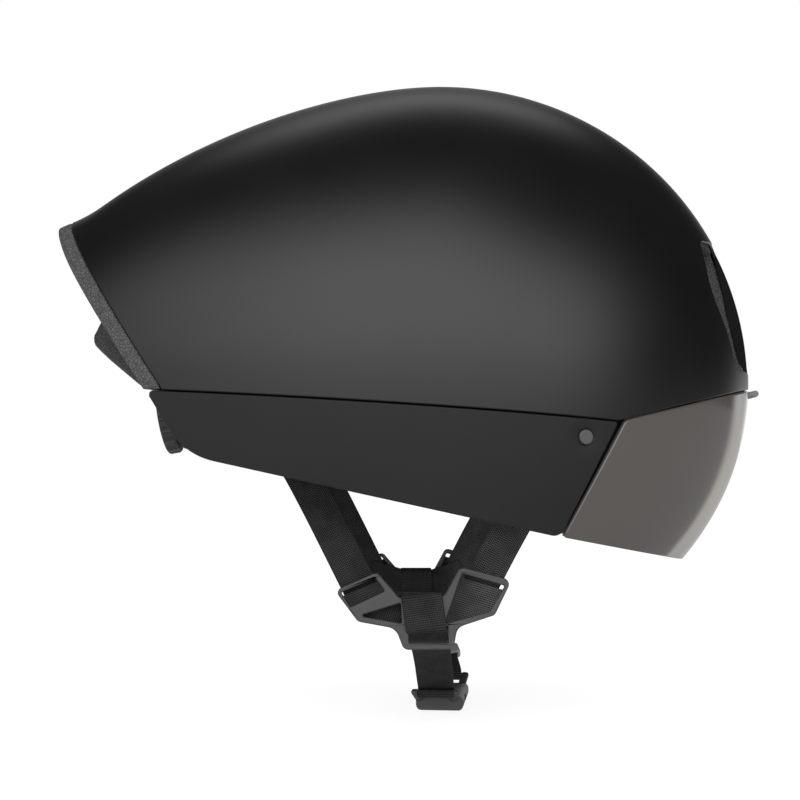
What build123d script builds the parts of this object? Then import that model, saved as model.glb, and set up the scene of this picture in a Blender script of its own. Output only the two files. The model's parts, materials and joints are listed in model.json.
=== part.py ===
from build123d import *
import os
from math import atan2, cos, degrees, pi, radians, sin, sqrt

os.makedirs("parts", exist_ok=True)

# Millimetres. +X points forward, +Y to the wearer's left and +Z up.
# The origin is the middle of the head opening, at the height of the brow.

# Outer form of the helmet
crown_height = 124.0
front_reach = 129.5
tail_reach = 193.0
half_width = 104.0
widest_x = -5.5
chin_fall = 117.0
side_fall = 200.0
skirt_depth = 80.0
tail_droop_share = 0.195
crown_fill_share = 0.08
tail_taper_share = 0.2
ring_points = 22
ring_angles = (12.0, 25.0, 38.0, 50.0, 61.0, 70.5, 78.0, 83.5, 87.5)

# Walls, gaps and fits
shell_wall = 1.5
panel_wall = 1.5
lens_wall = 2.2
bond_gap = 0.2
seam_gap = 0.5
visor_gap = 0.9
running_gap = 0.3
shaft_fit = 0.06
overrun = 20.0

# Side view of the shell: its lower edge and its cut-off tail
split_rear_x = -115.5
split_rear_z = -6.8
split_front_x = 56.6
split_front_z = -18.9
brow_edge_x = 124.0
brow_edge_z = -1.8
tail_top_x = -162.0
tail_top_z = 71.0
tail_foot_x = -115.0
tail_foot_z = 0.0
liner_step = 5.0

# Side panels that cover the ears
panel_toe_x = 35.4
panel_toe_z = -60.9
panel_heel_x = -100.3
panel_heel_z = -31.1
panel_toe_radius = 4.0
panel_heel_radius = 27.0
foam_inset = 0.8
foam_limit_y = 62.0
ear_pocket_x = -20.0
ear_pocket_length = 52.0
ear_pocket_height = 22.0
ear_pocket_drop = 17.0
ear_pocket_floor_y = 91.0

# Visor
visor_top_x = 59.2
visor_toe_x = 96.0
visor_toe_z = -73.0
visor_heel_radius = 1.0
nose_arch_width = 44.0
nose_arch_rise = 9.0
tab_width = 16.0
tab_length = 3.8
tab_thickness = 1.8
tab_rim_diameter = 2.8
tab_drop = 0.4

# Head opening
head_x = -8.0
head_half_length = 100.0
head_half_width = 84.0
head_crown = 100.0
foam_relief = 3.0

# Front vents
vent_inner_y = 10.0
vent_low_y = 47.5
vent_wide_y = 57.8
vent_high_y = 49.5
vent_low_z = 3.8
vent_wide_z = 33.0
vent_high_z = 56.5
vent_corner_radius = 6.0
vent_ledge = 3.0
vent_start_x = 40.0

# Exhaust port at the tail and its lower lip
port_wall = 15.0
port_floor_z = 34.0
port_front_x = -72.0
lip_tip_x = -148.0
lip_tip_z = 17.8
lip_crest_x = -143.5
lip_root_x = -128.0
lip_root_z = -1.5
lip_base_x = -100.0
lip_base_z = -5.0
lip_width = 52.0
lip_tip_radius = 4.5
lip_side_radius = 5.0

# Magnet that holds the visor on each side panel
stud_x = 44.2
stud_z = -25.0
stud_diameter = 5.4
stud_length = 4.0
stud_proud = 0.3
stud_fit = 0.15
stud_edge_radius = 0.5
dish_width = 15.0
dish_depth = 0.7

# Magnets along the brow
magnet_diameter = 10.0
magnet_height = 2.0
magnet_fit = 0.1
carrier_wall = 2.0
carrier_floor = 1.6
carrier_reach = 20.0
side_magnet_x = 80.0
side_magnet_y = 62.0
middle_magnet_x = 112.0

# Comfort pads
pad_thickness = 6.0
pad_gap = 0.3
pad_radius = 5.0
brow_pad_width = 124.0
brow_pad_low_z = -7.0
brow_pad_high_z = 6.5
temple_pad_x = -4.0
temple_pad_z = 27.0
temple_pad_length = 70.0
temple_pad_height = 15.0
crown_pad_x = -6.0
crown_pad_y = 26.0
crown_pad_length = 104.0
crown_pad_width = 17.0

# Headband: two arms that slide past each other behind the head
band_x = -26.0
band_z = 3.0
band_tilt = 10.0
band_radius = 78.0
band_wall = 1.8
band_height = 17.0
arm_front_angle = 83.0
arm_body_angle = 140.0
arm_tip_angle = 188.0
finger_base = 5.0

# Rack and pinion
pinion_teeth = 10
tooth_pitch = 2.5
tooth_root_width = 1.4
tooth_tip_width = 0.6
pinion_root_radius = 3.0
pinion_tip_radius = 4.8
rack_tip = 3.4
rack_teeth = 13
rack_first = -2
shaft_radius = 2.8

# Dial
dial_radius = 14.5
dial_thickness = 5.5
dial_reach = 93.1
dial_edge_radius = 1.2
dial_grips = 18
dial_grip_radius = 1.6
dial_holes = 9
dial_hole_diameter = 3.0
dial_hole_circle = 9.0
hub_radius = 4.6
hub_proud = 0.7
dial_gap = 0.5
bay_clearance = 2.5
bay_drop = 45.0

# Dial housing, cradle and height rail
housing_wall = 4.7
housing_half_angle = 22.0
housing_height = 22.0
boss_radius = 13.5
boss_edge_radius = 2.0
cradle_wall = 2.7
cradle_low = -18.0
cradle_high = 8.0
cradle_width = 92.0
cradle_wing_drop = -14.0
cradle_radius = 4.0
stem_width = 18.0
stem_wall = 2.0
stem_top = 34.0
rail_low = 12.0
rail_high = 36.0
rail_wall = 2.2
rail_side = 2.7
rail_hook = 2.5
rail_hook_wall = 1.4

# Webbing and strap dividers
webbing_width = 15.0
side_webbing_width = 13.0
webbing_thickness = 1.2
strap_y = 78.0
strap_clearance = 0.8
anchor_length = 24.0
anchor_thickness = 5.0
anchor_height = 9.0
rear_anchor_x = -76.0
rear_anchor_z = -6.5
front_anchor_x = 44.5
front_anchor_z = -13.5
anchor_bite = 4.0
rear_lug_x = -38.5
rear_lug_z = -77.0
front_lug_x = 9.8
front_lug_z = -74.5
strap_meet_z = -89.5
rear_meet_x = -18.0
front_meet_x = -6.5
divider_x = -11.0
divider_z = -88.0
divider_width = 64.0
divider_height = 29.0
divider_thickness = 2.5
divider_radius = 1.6
divider_edge_radius = 0.6
window_radius = 0.8
chin_slot_low_z = -98.9
chin_slot_high_z = -93.4
loop_top_z = -82.0
loop_end_z = -88.5

# Chin straps and buckle
loop_x = -13.5
loop_radius = 1.3
chin_exit_z = -95.2
chin_bend_z = -99.2
chin_bend_radius = 2.0
buckle_x = -4.4
buckle_y = 6.0
buckle_z = -132.5
buckle_yaw = 6.0
buckle_width = 22.0
buckle_height = 6.0
buckle_corner_radius = 2.4
socket_length = 28.0
socket_wall = 1.4
socket_depth = 19.0
latch_length = 9.0
latch_offset = 8.0
tongue_length = 11.0
prong_length = 17.0
prong_width = 4.2
guide_width = 2.4
bar_diameter = 2.0
bar_rise = 5.5
bar_offset = 26.5
bar_length = 22.0
ear_width = 2.6
ear_radius = 2.1
wrap_fit = 0.15
keeper_length = 5.0
keeper_wall = 1.4

# Outlines as shares of the sizes that they follow
divider_outline_shares = (
    (-0.542, 0.26),
    (-0.322, 0.466),
    (-0.187, 0.155),
    (0.078, 0.169),
    (0.19, 0.51),
    (0.455, 0.341),
    (0.373, -0.066),
    (0.158, -0.224),
    (0.139, -0.403),
    (0.105, -0.493),
    (-0.139, -0.493),
    (-0.183, -0.33),
    (-0.248, -0.224),
    (-0.403, -0.145),
    (-0.45, -0.08),
)
front_window_shares = ((0.189, 0.425), (0.414, 0.27), (0.34, -0.022), (0.115, -0.15))
rear_window_shares = ((-0.49, 0.2), (-0.32, 0.365), (-0.27, 0.235), (-0.445, 0.055))
rear_gusset_shares = ((-0.4, -0.07), (-0.165, 0.1), (-0.165, -0.18))
chin_run_shares = ((0.33, 0.19), (0.62, 0.48), (0.84, 0.78))
chin_section_shares = (0, 0.25, 0.5, 0.75, 1)
keeper_place_share = 0.8

# Angles, in degrees, at which the chin webbing wraps its bar on the buckle
wrap_start = 120
wrap_turn = 260


def ring_outline(height, inset):
    """Points of one level ring of the form, inset inside the outer form."""
    crown = crown_height - inset
    front = front_reach - inset
    tail = tail_reach - inset
    half = half_width - inset
    if height > 0:
        rise = height / crown
        round_off = sqrt(1 - rise**2)
        ahead = front * round_off
        behind = tail * round_off * (1 - tail_droop_share * rise**2)
        width = half * round_off * (1 + crown_fill_share * rise**2)
    else:
        ahead = front * sqrt(1 - (height / (chin_fall - inset)) ** 2)
        behind = tail
        width = half * sqrt(1 - (height / side_fall) ** 2)
    points = []
    for index in range(ring_points):
        turn = 2 * pi * index / ring_points
        along = cos(turn)
        across = width * sin(turn)
        if along < 0:
            points.append((widest_x + behind * along, across * (1 - tail_taper_share * along**2)))
        else:
            points.append((widest_x + ahead * along, across))
    return points


def helmet_form(inset):
    """Solid form of the helmet, inset inside its outer surface."""
    crown = crown_height - inset
    heights = [-skirt_depth, -skirt_depth / 2, 0]
    heights += [crown * sin(radians(angle)) for angle in ring_angles]
    with BuildPart() as form:
        for height in heights:
            with BuildSketch(Plane.XY.offset(height)):
                with BuildLine():
                    Spline(ring_outline(height, inset), periodic=True)
                make_face()
        loft()
    return form.part


def side_y(x, z):
    """Distance of the outer surface from the middle plane, at one point of the side view."""
    width = half_width * sqrt(1 - (z / side_fall) ** 2)
    ahead = front_reach * sqrt(1 - (z / chin_fall) ** 2)
    if x > widest_x:
        return width * sqrt(1 - ((x - widest_x) / ahead) ** 2)
    along = (x - widest_x) / tail_reach
    return width * sqrt(1 - along**2) * (1 - tail_taper_share * along**2)


def split_z(x):
    """Height of the shell's lower edge over the side panel."""
    slope = (split_front_z - split_rear_z) / (split_front_x - split_rear_x)
    return split_front_z + slope * (x - split_front_x)


def brow_z(x):
    """Height of the shell's lower edge over the visor."""
    slope = (brow_edge_z - split_front_z) / (brow_edge_x - split_front_x)
    return split_front_z + slope * (x - split_front_x)


def tail_x(z):
    """Place of the shell's cut-off tail at one height."""
    slope = (tail_top_x - tail_foot_x) / (tail_top_z - tail_foot_z)
    return tail_foot_x + slope * (z - tail_foot_z)


def panel_outline(inset):
    """Side view of a side panel, shrunk by inset."""
    with BuildSketch(Plane.XZ) as outline:
        with BuildLine():
            Polyline(
                (split_rear_x, split_rear_z - seam_gap),
                (split_front_x, split_front_z - seam_gap),
                (panel_toe_x, panel_toe_z),
                (panel_heel_x, panel_heel_z),
                close=True,
            )
        make_face()
        corners = outline.vertices().sort_by(Axis.X)
        fillet(corners[1], radius=panel_heel_radius)
        toe = outline.vertices().sort_by(Axis.Y)[0]
        fillet(toe, radius=panel_toe_radius)
        if inset > 0:
            offset(amount=-inset, mode=Mode.REPLACE)
    return outline.sketch


def head_space(inset):
    """Room for the head, inset inside the liner's inner surface."""
    with BuildPart() as dome:
        Sphere(1)
        scale(by=(head_half_length - inset, head_half_width - inset, head_crown - inset))
    with BuildPart() as space:
        add(Pos(head_x, 0, 0) * dome.part)
        with BuildSketch():
            with Locations((head_x, 0)):
                Ellipse(head_half_length - inset, head_half_width - inset)
        extrude(amount=-skirt_depth)
    return space.part


def vent_outline(inset):
    """Front view of the two vents, shrunk by inset."""
    with BuildSketch(Plane.YZ.offset(vent_start_x)) as outline:
        with BuildLine():
            Polyline(
                (vent_inner_y, vent_low_z),
                (vent_low_y, vent_low_z),
                (vent_wide_y, vent_wide_z),
                (vent_high_y, vent_high_z),
                (vent_inner_y, vent_high_z),
                close=True,
            )
        make_face()
        fillet(outline.vertices(), radius=vent_corner_radius)
        if inset > 0:
            offset(amount=-inset, mode=Mode.REPLACE)
        mirror(about=Plane.YZ)
    return outline.sketch


outer_form = helmet_form(0)
shell_core = helmet_form(shell_wall)
panel_core = helmet_form(panel_wall)
lens_core = helmet_form(lens_wall)
foam_form = helmet_form(max(shell_wall, panel_wall) + bond_gap)
port_form = helmet_form(port_wall)
front_far_x = front_reach + overrun
top_far_z = crown_height + overrun
side_far_y = half_width + overrun

# Shell: one moulded skin over the crown, open at the tail and along its lower edge
with BuildPart() as outer_shell:
    with BuildSketch(Plane.XZ):
        with BuildLine():
            Polyline(
                (tail_x(top_far_z), top_far_z),
                (tail_x(split_rear_z), split_rear_z),
                (split_front_x, split_front_z),
                (front_far_x, brow_z(front_far_x)),
                (front_far_x, top_far_z),
                close=True,
            )
        make_face()
    extrude(amount=side_far_y, both=True)
    add(outer_form, mode=Mode.INTERSECT)
    add(shell_core, mode=Mode.SUBTRACT)
    add(vent_outline(0))
    extrude(amount=front_far_x, dir=(1, 0, 0), mode=Mode.SUBTRACT)

# Magnet that holds the visor, one on each side panel
stud_y = side_y(stud_x, stud_z)
stud_along = (stud_x - widest_x) / front_reach
stud_turn = atan2(half_width * stud_along, front_reach * sqrt(1 - stud_along**2))
stud_plane = Plane(
    origin=(stud_x, -stud_y, stud_z),
    x_dir=(cos(stud_turn), sin(stud_turn), 0),
    z_dir=(sin(stud_turn), -cos(stud_turn), 0),
)
dish_sphere_radius = (dish_width**2 / 4 + dish_depth**2) / (2 * dish_depth)
with BuildPart() as right_visor_stud:
    with BuildSketch(stud_plane.offset(stud_proud)):
        Circle(stud_diameter / 2)
    extrude(amount=-stud_length)
    fillet(right_visor_stud.edges().sort_by(Axis.Y)[0], radius=stud_edge_radius)
with BuildPart() as stud_hole:
    with BuildSketch(stud_plane.offset(stud_proud)):
        Circle(stud_diameter / 2 + stud_fit)
    extrude(amount=stud_length + bond_gap, both=True)
with BuildPart() as stud_dish:
    Sphere(dish_sphere_radius)
stud_dish_centre = stud_plane.offset(dish_sphere_radius - dish_depth).origin

# Side panel over each ear
with BuildPart() as right_side_panel:
    add(panel_outline(0))
    extrude(amount=side_far_y, dir=(0, -1, 0))
    add(outer_form, mode=Mode.INTERSECT)
    add(panel_core, mode=Mode.SUBTRACT)
    add(Pos(stud_dish_centre) * stud_dish.part, mode=Mode.SUBTRACT)
    add(stud_hole.part, mode=Mode.SUBTRACT)

# Webbing: each strap is a flat ribbon that turns at its divider
plate_outer_y = strap_y + webbing_thickness / 2 + running_gap + divider_thickness


def strap_solid(route, clearance, depth):
    """Strap along its route in side view, widened by clearance on each edge."""
    width = side_webbing_width + 2 * clearance
    with BuildPart() as strap:
        with BuildSketch(Plane.XZ.offset(strap_y + webbing_thickness / 2 + clearance)):
            with BuildLine():
                Polyline(*route)
            trace(line_width=width)
            with Locations(route[1]):
                Circle(width / 2)
        extrude(amount=-depth)
    return strap.part


rear_route = (
    (rear_anchor_x, rear_anchor_z),
    (rear_lug_x, rear_lug_z),
    (rear_meet_x, strap_meet_z),
)
front_route = (
    (front_anchor_x, front_anchor_z),
    (front_lug_x, front_lug_z),
    (front_meet_x, strap_meet_z),
)
with BuildPart() as loop_room:
    with BuildSketch(Plane.XZ):
        with Locations((loop_x, strap_meet_z)):
            Rectangle(webbing_width + 2 * running_gap, divider_height)
    extrude(amount=half_width)
with BuildPart() as right_rear_strap:
    add(strap_solid(rear_route, 0, webbing_thickness))
    add(loop_room.part, mode=Mode.SUBTRACT)
with BuildPart() as right_front_strap:
    add(strap_solid(front_route, 0, webbing_thickness))
    add(loop_room.part, mode=Mode.SUBTRACT)
with BuildPart() as strap_channels:
    add(strap_solid(rear_route, strap_clearance, strap_y))
    add(strap_solid(front_route, strap_clearance, strap_y))

# Anchors that hold the tops of the straps in the liner
def anchor_block(route, grow, drop):
    """Anchor for one strap, grown on all sides and extended downwards."""
    top_x = route[0][0]
    with BuildPart() as block:
        with BuildSketch(Plane.XZ.offset(strap_y - anchor_thickness / 2 - grow)):
            with Locations((top_x, split_z(top_x) - drop)):
                Rectangle(
                    anchor_length + 2 * grow,
                    anchor_height + grow + drop,
                    align=(Align.CENTER, Align.MIN),
                )
        extrude(amount=anchor_thickness + 2 * grow)
    return block.part


with BuildPart() as anchor_pockets:
    add(anchor_block(rear_route, bond_gap, overrun))
    add(anchor_block(front_route, bond_gap, overrun))
with BuildPart() as right_strap_anchors:
    add(anchor_block(rear_route, 0, 0))
    add(anchor_block(front_route, 0, 0))
    add(strap_solid(rear_route, bond_gap, webbing_thickness + 2 * bond_gap), mode=Mode.SUBTRACT)
    add(strap_solid(front_route, bond_gap, webbing_thickness + 2 * bond_gap), mode=Mode.SUBTRACT)

# Foam under each side panel, with a pocket for the ear and a channel for each strap
with BuildPart() as ear_pocket:
    with BuildSketch(Plane.XZ):
        with Locations((ear_pocket_x, split_z(ear_pocket_x) - ear_pocket_drop)):
            SlotOverall(ear_pocket_length, ear_pocket_height)
    extrude(amount=ear_pocket_floor_y)
foam_space_length = head_half_length + foam_relief
foam_space_width = head_half_width + foam_relief
with BuildPart() as right_cheek_foam:
    add(panel_outline(foam_inset))
    extrude(amount=side_far_y, dir=(0, -1, 0))
    add(foam_form, mode=Mode.INTERSECT)
    with BuildSketch():
        with Locations((head_x, 0)):
            Ellipse(foam_space_length, foam_space_width)
        with Locations((panel_heel_x, 0)):
            Rectangle(side_far_y, 2 * foam_limit_y)
    extrude(amount=-skirt_depth, mode=Mode.SUBTRACT)
    add(strap_channels.part, mode=Mode.SUBTRACT)
    add(ear_pocket.part, mode=Mode.SUBTRACT)
    add(stud_hole.part, mode=Mode.SUBTRACT)

# Visor lens
visor_slope = (visor_toe_z - panel_toe_z) / (visor_toe_x - panel_toe_x)
lens_top_z = brow_z(visor_top_x) - seam_gap
lens_heel_x = panel_toe_x + visor_gap
with BuildPart() as visor_lens:
    with BuildSketch(Plane.XZ) as lens_view:
        with BuildLine():
            Polyline(
                (visor_top_x, lens_top_z),
                (front_far_x, brow_z(front_far_x) - seam_gap),
                (front_far_x, panel_toe_z + visor_slope * (front_far_x - lens_heel_x)),
                (lens_heel_x, panel_toe_z),
                close=True,
            )
        make_face()
        heel = lens_view.vertices().sort_by(Axis.X)[0]
        fillet(heel, radius=visor_heel_radius)
    extrude(amount=side_far_y, both=True)
    add(outer_form, mode=Mode.INTERSECT)
    add(lens_core, mode=Mode.SUBTRACT)
    with BuildSketch(Plane.YZ.offset(lens_heel_x)):
        with Locations((0, visor_toe_z)):
            Ellipse(nose_arch_width / 2, nose_arch_rise)
    extrude(amount=front_far_x, mode=Mode.SUBTRACT)

# Magnets that hold the visor along the brow
brow_slope = atan2(brow_edge_z - split_front_z, brow_edge_x - split_front_x)
brow_plane = Plane(
    origin=(brow_edge_x, 0, brow_edge_z),
    x_dir=(cos(brow_slope), 0, sin(brow_slope)),
    z_dir=(-sin(brow_slope), 0, cos(brow_slope)),
)
middle_place = ((middle_magnet_x - brow_edge_x) / cos(brow_slope), 0)
side_place_x = (side_magnet_x - brow_edge_x) / cos(brow_slope)
magnet_places = (middle_place, (side_place_x, side_magnet_y), (side_place_x, -side_magnet_y))
side_turn = degrees(atan2(side_magnet_y / half_width**2, (side_magnet_x - widest_x) / front_reach**2))
carrier_turns = (0, side_turn, -side_turn)
carrier_radius = magnet_diameter / 2 + carrier_wall
with BuildPart() as brow_magnets:
    with BuildSketch(brow_plane):
        with Locations(*magnet_places):
            Circle(magnet_diameter / 2)
    extrude(amount=magnet_height)
with BuildPart() as visor_magnets:
    with BuildSketch(brow_plane.offset(-running_gap - magnet_height)):
        with Locations(*magnet_places):
            Circle(magnet_diameter / 2)
    extrude(amount=magnet_height)
with BuildPart() as visor_carriers:
    with BuildSketch(brow_plane.offset(-running_gap - magnet_height - carrier_floor)):
        for place, turn in zip(magnet_places, carrier_turns):
            with Locations(place):
                Circle(carrier_radius)
                Rectangle(
                    carrier_reach,
                    2 * carrier_radius,
                    rotation=turn,
                    align=(Align.MIN, Align.CENTER),
                )
    extrude(amount=magnet_height + carrier_floor)
    add(lens_core, mode=Mode.INTERSECT)
    with BuildSketch(brow_plane.offset(-running_gap - magnet_height)):
        with Locations(*magnet_places):
            Circle(magnet_diameter / 2 + magnet_fit)
    extrude(amount=magnet_height + running_gap, mode=Mode.SUBTRACT)

# Tab on the visor's upper edge, for a finger
tab_tip_x = brow_edge_x + tab_length
tab_tip_z = brow_edge_z - tab_drop
with BuildPart() as visor_tab:
    with BuildSketch(Plane.XZ):
        with Locations((tab_tip_x, tab_tip_z - tab_thickness / 2)):
            Rectangle(2 * tab_length, tab_thickness, align=(Align.MAX, Align.CENTER))
        with Locations((tab_tip_x, tab_tip_z - tab_thickness / 2)):
            Circle(tab_rim_diameter / 2)
    extrude(amount=tab_width / 2, both=True)
    add(outer_form, mode=Mode.SUBTRACT)

# Headband plane: it leans up towards the temples, and the dial stands square to it
lean = radians(band_tilt)
band_plane = Plane(
    origin=(band_x, 0, band_z),
    x_dir=(cos(lean), 0, sin(lean)),
    z_dir=(-sin(lean), 0, cos(lean)),
)


def behind(reach):
    """Plane square to the headband, reach behind its axis, facing the rear."""
    return Plane(
        origin=band_plane.from_local_coords((-reach, 0, 0)),
        x_dir=(0, -1, 0),
        z_dir=-band_plane.x_dir,
    )


def band_sector(inner, outer, low, high, start, end):
    """Curved strip about the headband's axis, between two angles from straight ahead."""
    with BuildPart() as sector:
        with BuildSketch(band_plane.offset(low)):
            with BuildLine():
                outside = CenterArc((0, 0), outer, start, end - start)
                inside = CenterArc((0, 0), inner, start, end - start)
                Line(outside @ 0, inside @ 0)
                Line(outside @ 1, inside @ 1)
            make_face()
        extrude(amount=high - low)
    return sector.part


def tooth(root, tip, root_width, tip_width, reach, depth):
    """One gear or rack tooth that points up from the band's middle line."""
    with BuildPart() as solid:
        with BuildSketch(behind(reach)):
            with BuildLine():
                Polyline(
                    (-root_width / 2, root),
                    (root_width / 2, root),
                    (tip_width / 2, tip),
                    (-tip_width / 2, tip),
                    close=True,
                )
            make_face()
        extrude(amount=depth)
    return solid.part


# Headband arms: each ends in a finger with a rack, one above the pinion and one below
band_inner = band_radius - band_wall
band_axis = Axis(band_plane.origin, band_plane.z_dir)
rack_step = degrees(tooth_pitch / (band_radius - band_wall / 2))
rack_root = finger_base + band_wall / 2
rack_tooth = tooth(rack_root, rack_tip, tooth_root_width, tooth_tip_width, band_inner, band_wall)
arm_top = band_height / 2
finger_start = arm_body_angle - rack_step
with BuildPart() as left_band_arm:
    add(band_sector(band_inner, band_radius, -arm_top, arm_top, arm_front_angle, arm_body_angle))
    ends = left_band_arm.edges().filter_by(lambda e: abs(e.length - band_wall) < bond_gap)
    fillet(ends, radius=arm_top - band_wall)
    add(band_sector(band_inner, band_radius, finger_base, arm_top, finger_start, arm_tip_angle))
    for index in range(rack_first, rack_teeth + rack_first):
        add(rack_tooth.rotate(band_axis, -rack_step * index))
dial_axis = Axis(band_plane.origin, -band_plane.x_dir)
with BuildPart() as right_band_arm:
    add(left_band_arm.part.rotate(dial_axis, 180))

# Pinion with its shaft, which carries the dial
pinion_tooth = tooth(
    pinion_root_radius - band_wall / 2,
    pinion_tip_radius,
    tooth_root_width,
    tooth_tip_width,
    band_inner,
    band_wall,
)
pinion_pitch = 360 / pinion_teeth
with BuildPart() as dial_pinion:
    with BuildSketch(behind(band_inner)):
        Circle(pinion_root_radius)
    extrude(amount=band_wall)
    for index in range(pinion_teeth):
        add(pinion_tooth.rotate(dial_axis, pinion_pitch * (index + 1 / 2)))
    with BuildSketch(behind(band_inner - cradle_wall)):
        Circle(shaft_radius)
    extrude(amount=dial_reach + dial_thickness / 2 - band_inner + cradle_wall)

# Dial knob, with grip scallops round its rim and a ring of holes
with BuildPart() as dial_knob:
    with BuildSketch(behind(dial_reach)):
        Circle(dial_radius)
    extrude(amount=dial_thickness)
    fillet(dial_knob.edges(), radius=dial_edge_radius)
    with BuildSketch(behind(dial_reach + dial_thickness)):
        Circle(hub_radius)
    extrude(amount=hub_proud)
    with BuildSketch(behind(dial_reach)):
        with PolarLocations(dial_radius + dial_grip_radius / 2, dial_grips):
            Circle(dial_grip_radius)
        with PolarLocations(dial_hole_circle, dial_holes):
            Circle(dial_hole_diameter / 2)
    extrude(amount=dial_thickness, mode=Mode.SUBTRACT)
    with BuildSketch(behind(dial_reach)):
        Circle(shaft_radius + shaft_fit)
    extrude(amount=dial_thickness / 2 + bond_gap, mode=Mode.SUBTRACT)

# Dial housing: its flanges and the cradle make the slot that the arms slide in
slot_half = band_height / 2 + running_gap
housing_inner = band_radius + running_gap
housing_outer = housing_inner + housing_wall
cradle_outer = band_inner - running_gap
housing_start = 180 - housing_half_angle
housing_end = 180 + housing_half_angle
housing_half = housing_height / 2
with BuildPart() as dial_housing:
    add(
        band_sector(
            housing_inner, housing_outer, -housing_half, housing_half, housing_start, housing_end
        )
    )
    with BuildSketch(behind(housing_inner)):
        Circle(boss_radius)
    extrude(amount=dial_reach - dial_gap - housing_inner)
    fillet(dial_housing.edges().sort_by(dial_axis)[-1], radius=boss_edge_radius)
    add(band_sector(cradle_outer, housing_inner, slot_half, housing_half, housing_start, housing_end))
    add(
        band_sector(
            cradle_outer, housing_inner, -housing_half, -slot_half, housing_start, housing_end
        )
    )
    with BuildSketch(behind(cradle_outer)):
        Circle(shaft_radius + shaft_fit)
    extrude(amount=dial_reach - cradle_outer, mode=Mode.SUBTRACT)

housing_bay = band_sector(
    band_inner,
    housing_outer + bond_gap,
    -bay_drop,
    housing_half + bond_gap,
    housing_start - rack_step,
    housing_end + rack_step,
)

# Cradle that hugs the back of the head, with a stem that slides in the height rail
cradle_half_view = (
    (stem_width, cradle_high),
    (cradle_width / 2, (cradle_high + cradle_wing_drop) / 2),
    (cradle_width / 2, cradle_wing_drop),
    (cradle_width / 3, cradle_low),
    (stem_width / 2, cradle_wing_drop),
)
cradle_view = cradle_half_view + tuple((-across, up) for across, up in reversed(cradle_half_view))
cradle_inner = cradle_outer - cradle_wall
stem_reach = sqrt(cradle_outer**2 - stem_width**2 / 4)
with BuildPart() as cradle:
    with BuildSketch(behind(0)) as cradle_outline:
        with BuildLine():
            Polyline(*cradle_view, close=True)
        make_face()
        fillet(cradle_outline.vertices(), radius=cradle_radius)
    extrude(amount=band_radius)
    add(band_sector(cradle_inner, cradle_outer, cradle_low, cradle_high, 90, 270), mode=Mode.INTERSECT)
    with BuildSketch(behind(stem_reach - stem_wall)):
        with Locations((0, stem_top / 2)):
            RectangleRounded(stem_width, stem_top, stem_width / 4)
    extrude(amount=stem_wall)
    with BuildSketch(behind(cradle_inner)):
        Circle(shaft_radius + shaft_fit)
    extrude(amount=band_radius, mode=Mode.SUBTRACT)

# Height rail: a channel with hooked lips, let into the liner
rail_back = stem_reach + running_gap
rail_height = rail_high - rail_low
rail_inner_width = stem_width + 2 * running_gap
rail_width = rail_inner_width + 2 * rail_side
rail_front = stem_reach - stem_wall - running_gap - rail_hook_wall
with BuildPart() as height_rail:
    with BuildSketch(band_plane.offset(rail_low)):
        with Locations((-rail_back - rail_wall / 2, 0)):
            Rectangle(rail_wall, rail_width)
        with Locations((-(rail_back + rail_front) / 2, 0)):
            Rectangle(rail_back - rail_front, rail_width)
            Rectangle(rail_back - rail_front, rail_inner_width, mode=Mode.SUBTRACT)
        with Locations((-rail_front - rail_hook_wall / 2, 0)):
            Rectangle(rail_hook_wall, rail_width)
            Rectangle(rail_hook_wall, rail_inner_width - 2 * rail_hook, mode=Mode.SUBTRACT)
    extrude(amount=rail_height)

# Liner: foam under the shell, with the head opening, vents, exhaust port and lip
with BuildPart() as port_block:
    with BuildSketch(Plane.XZ):
        with BuildLine():
            Polyline(
                (port_front_x, port_floor_z),
                (port_front_x, top_far_z),
                (tail_x(top_far_z) - overrun, top_far_z),
                (tail_x(top_far_z) - overrun, port_floor_z),
                close=True,
            )
        make_face()
    extrude(amount=side_far_y, both=True)
    add(port_form, mode=Mode.INTERSECT)
with BuildPart() as exhaust_lip:
    with BuildSketch(Plane.XZ) as lip_view:
        with BuildLine():
            Polyline(
                (lip_base_x, port_floor_z),
                (tail_x(port_floor_z) - liner_step, port_floor_z),
                (lip_crest_x, (port_floor_z + lip_tip_z) / 2),
                (lip_tip_x, lip_tip_z),
                (lip_root_x, lip_root_z),
                (lip_base_x, lip_base_z),
                close=True,
            )
        make_face()
        fillet(lip_view.vertices().sort_by(Axis.X)[0], radius=lip_tip_radius)
    extrude(amount=lip_width / 2, both=True)
    lip_ends = exhaust_lip.faces().filter_by(Axis.Y).edges()
    fillet(lip_ends.filter_by_position(Axis.X, lip_tip_x, lip_root_x), radius=lip_side_radius)
head_room = head_space(0)
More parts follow.
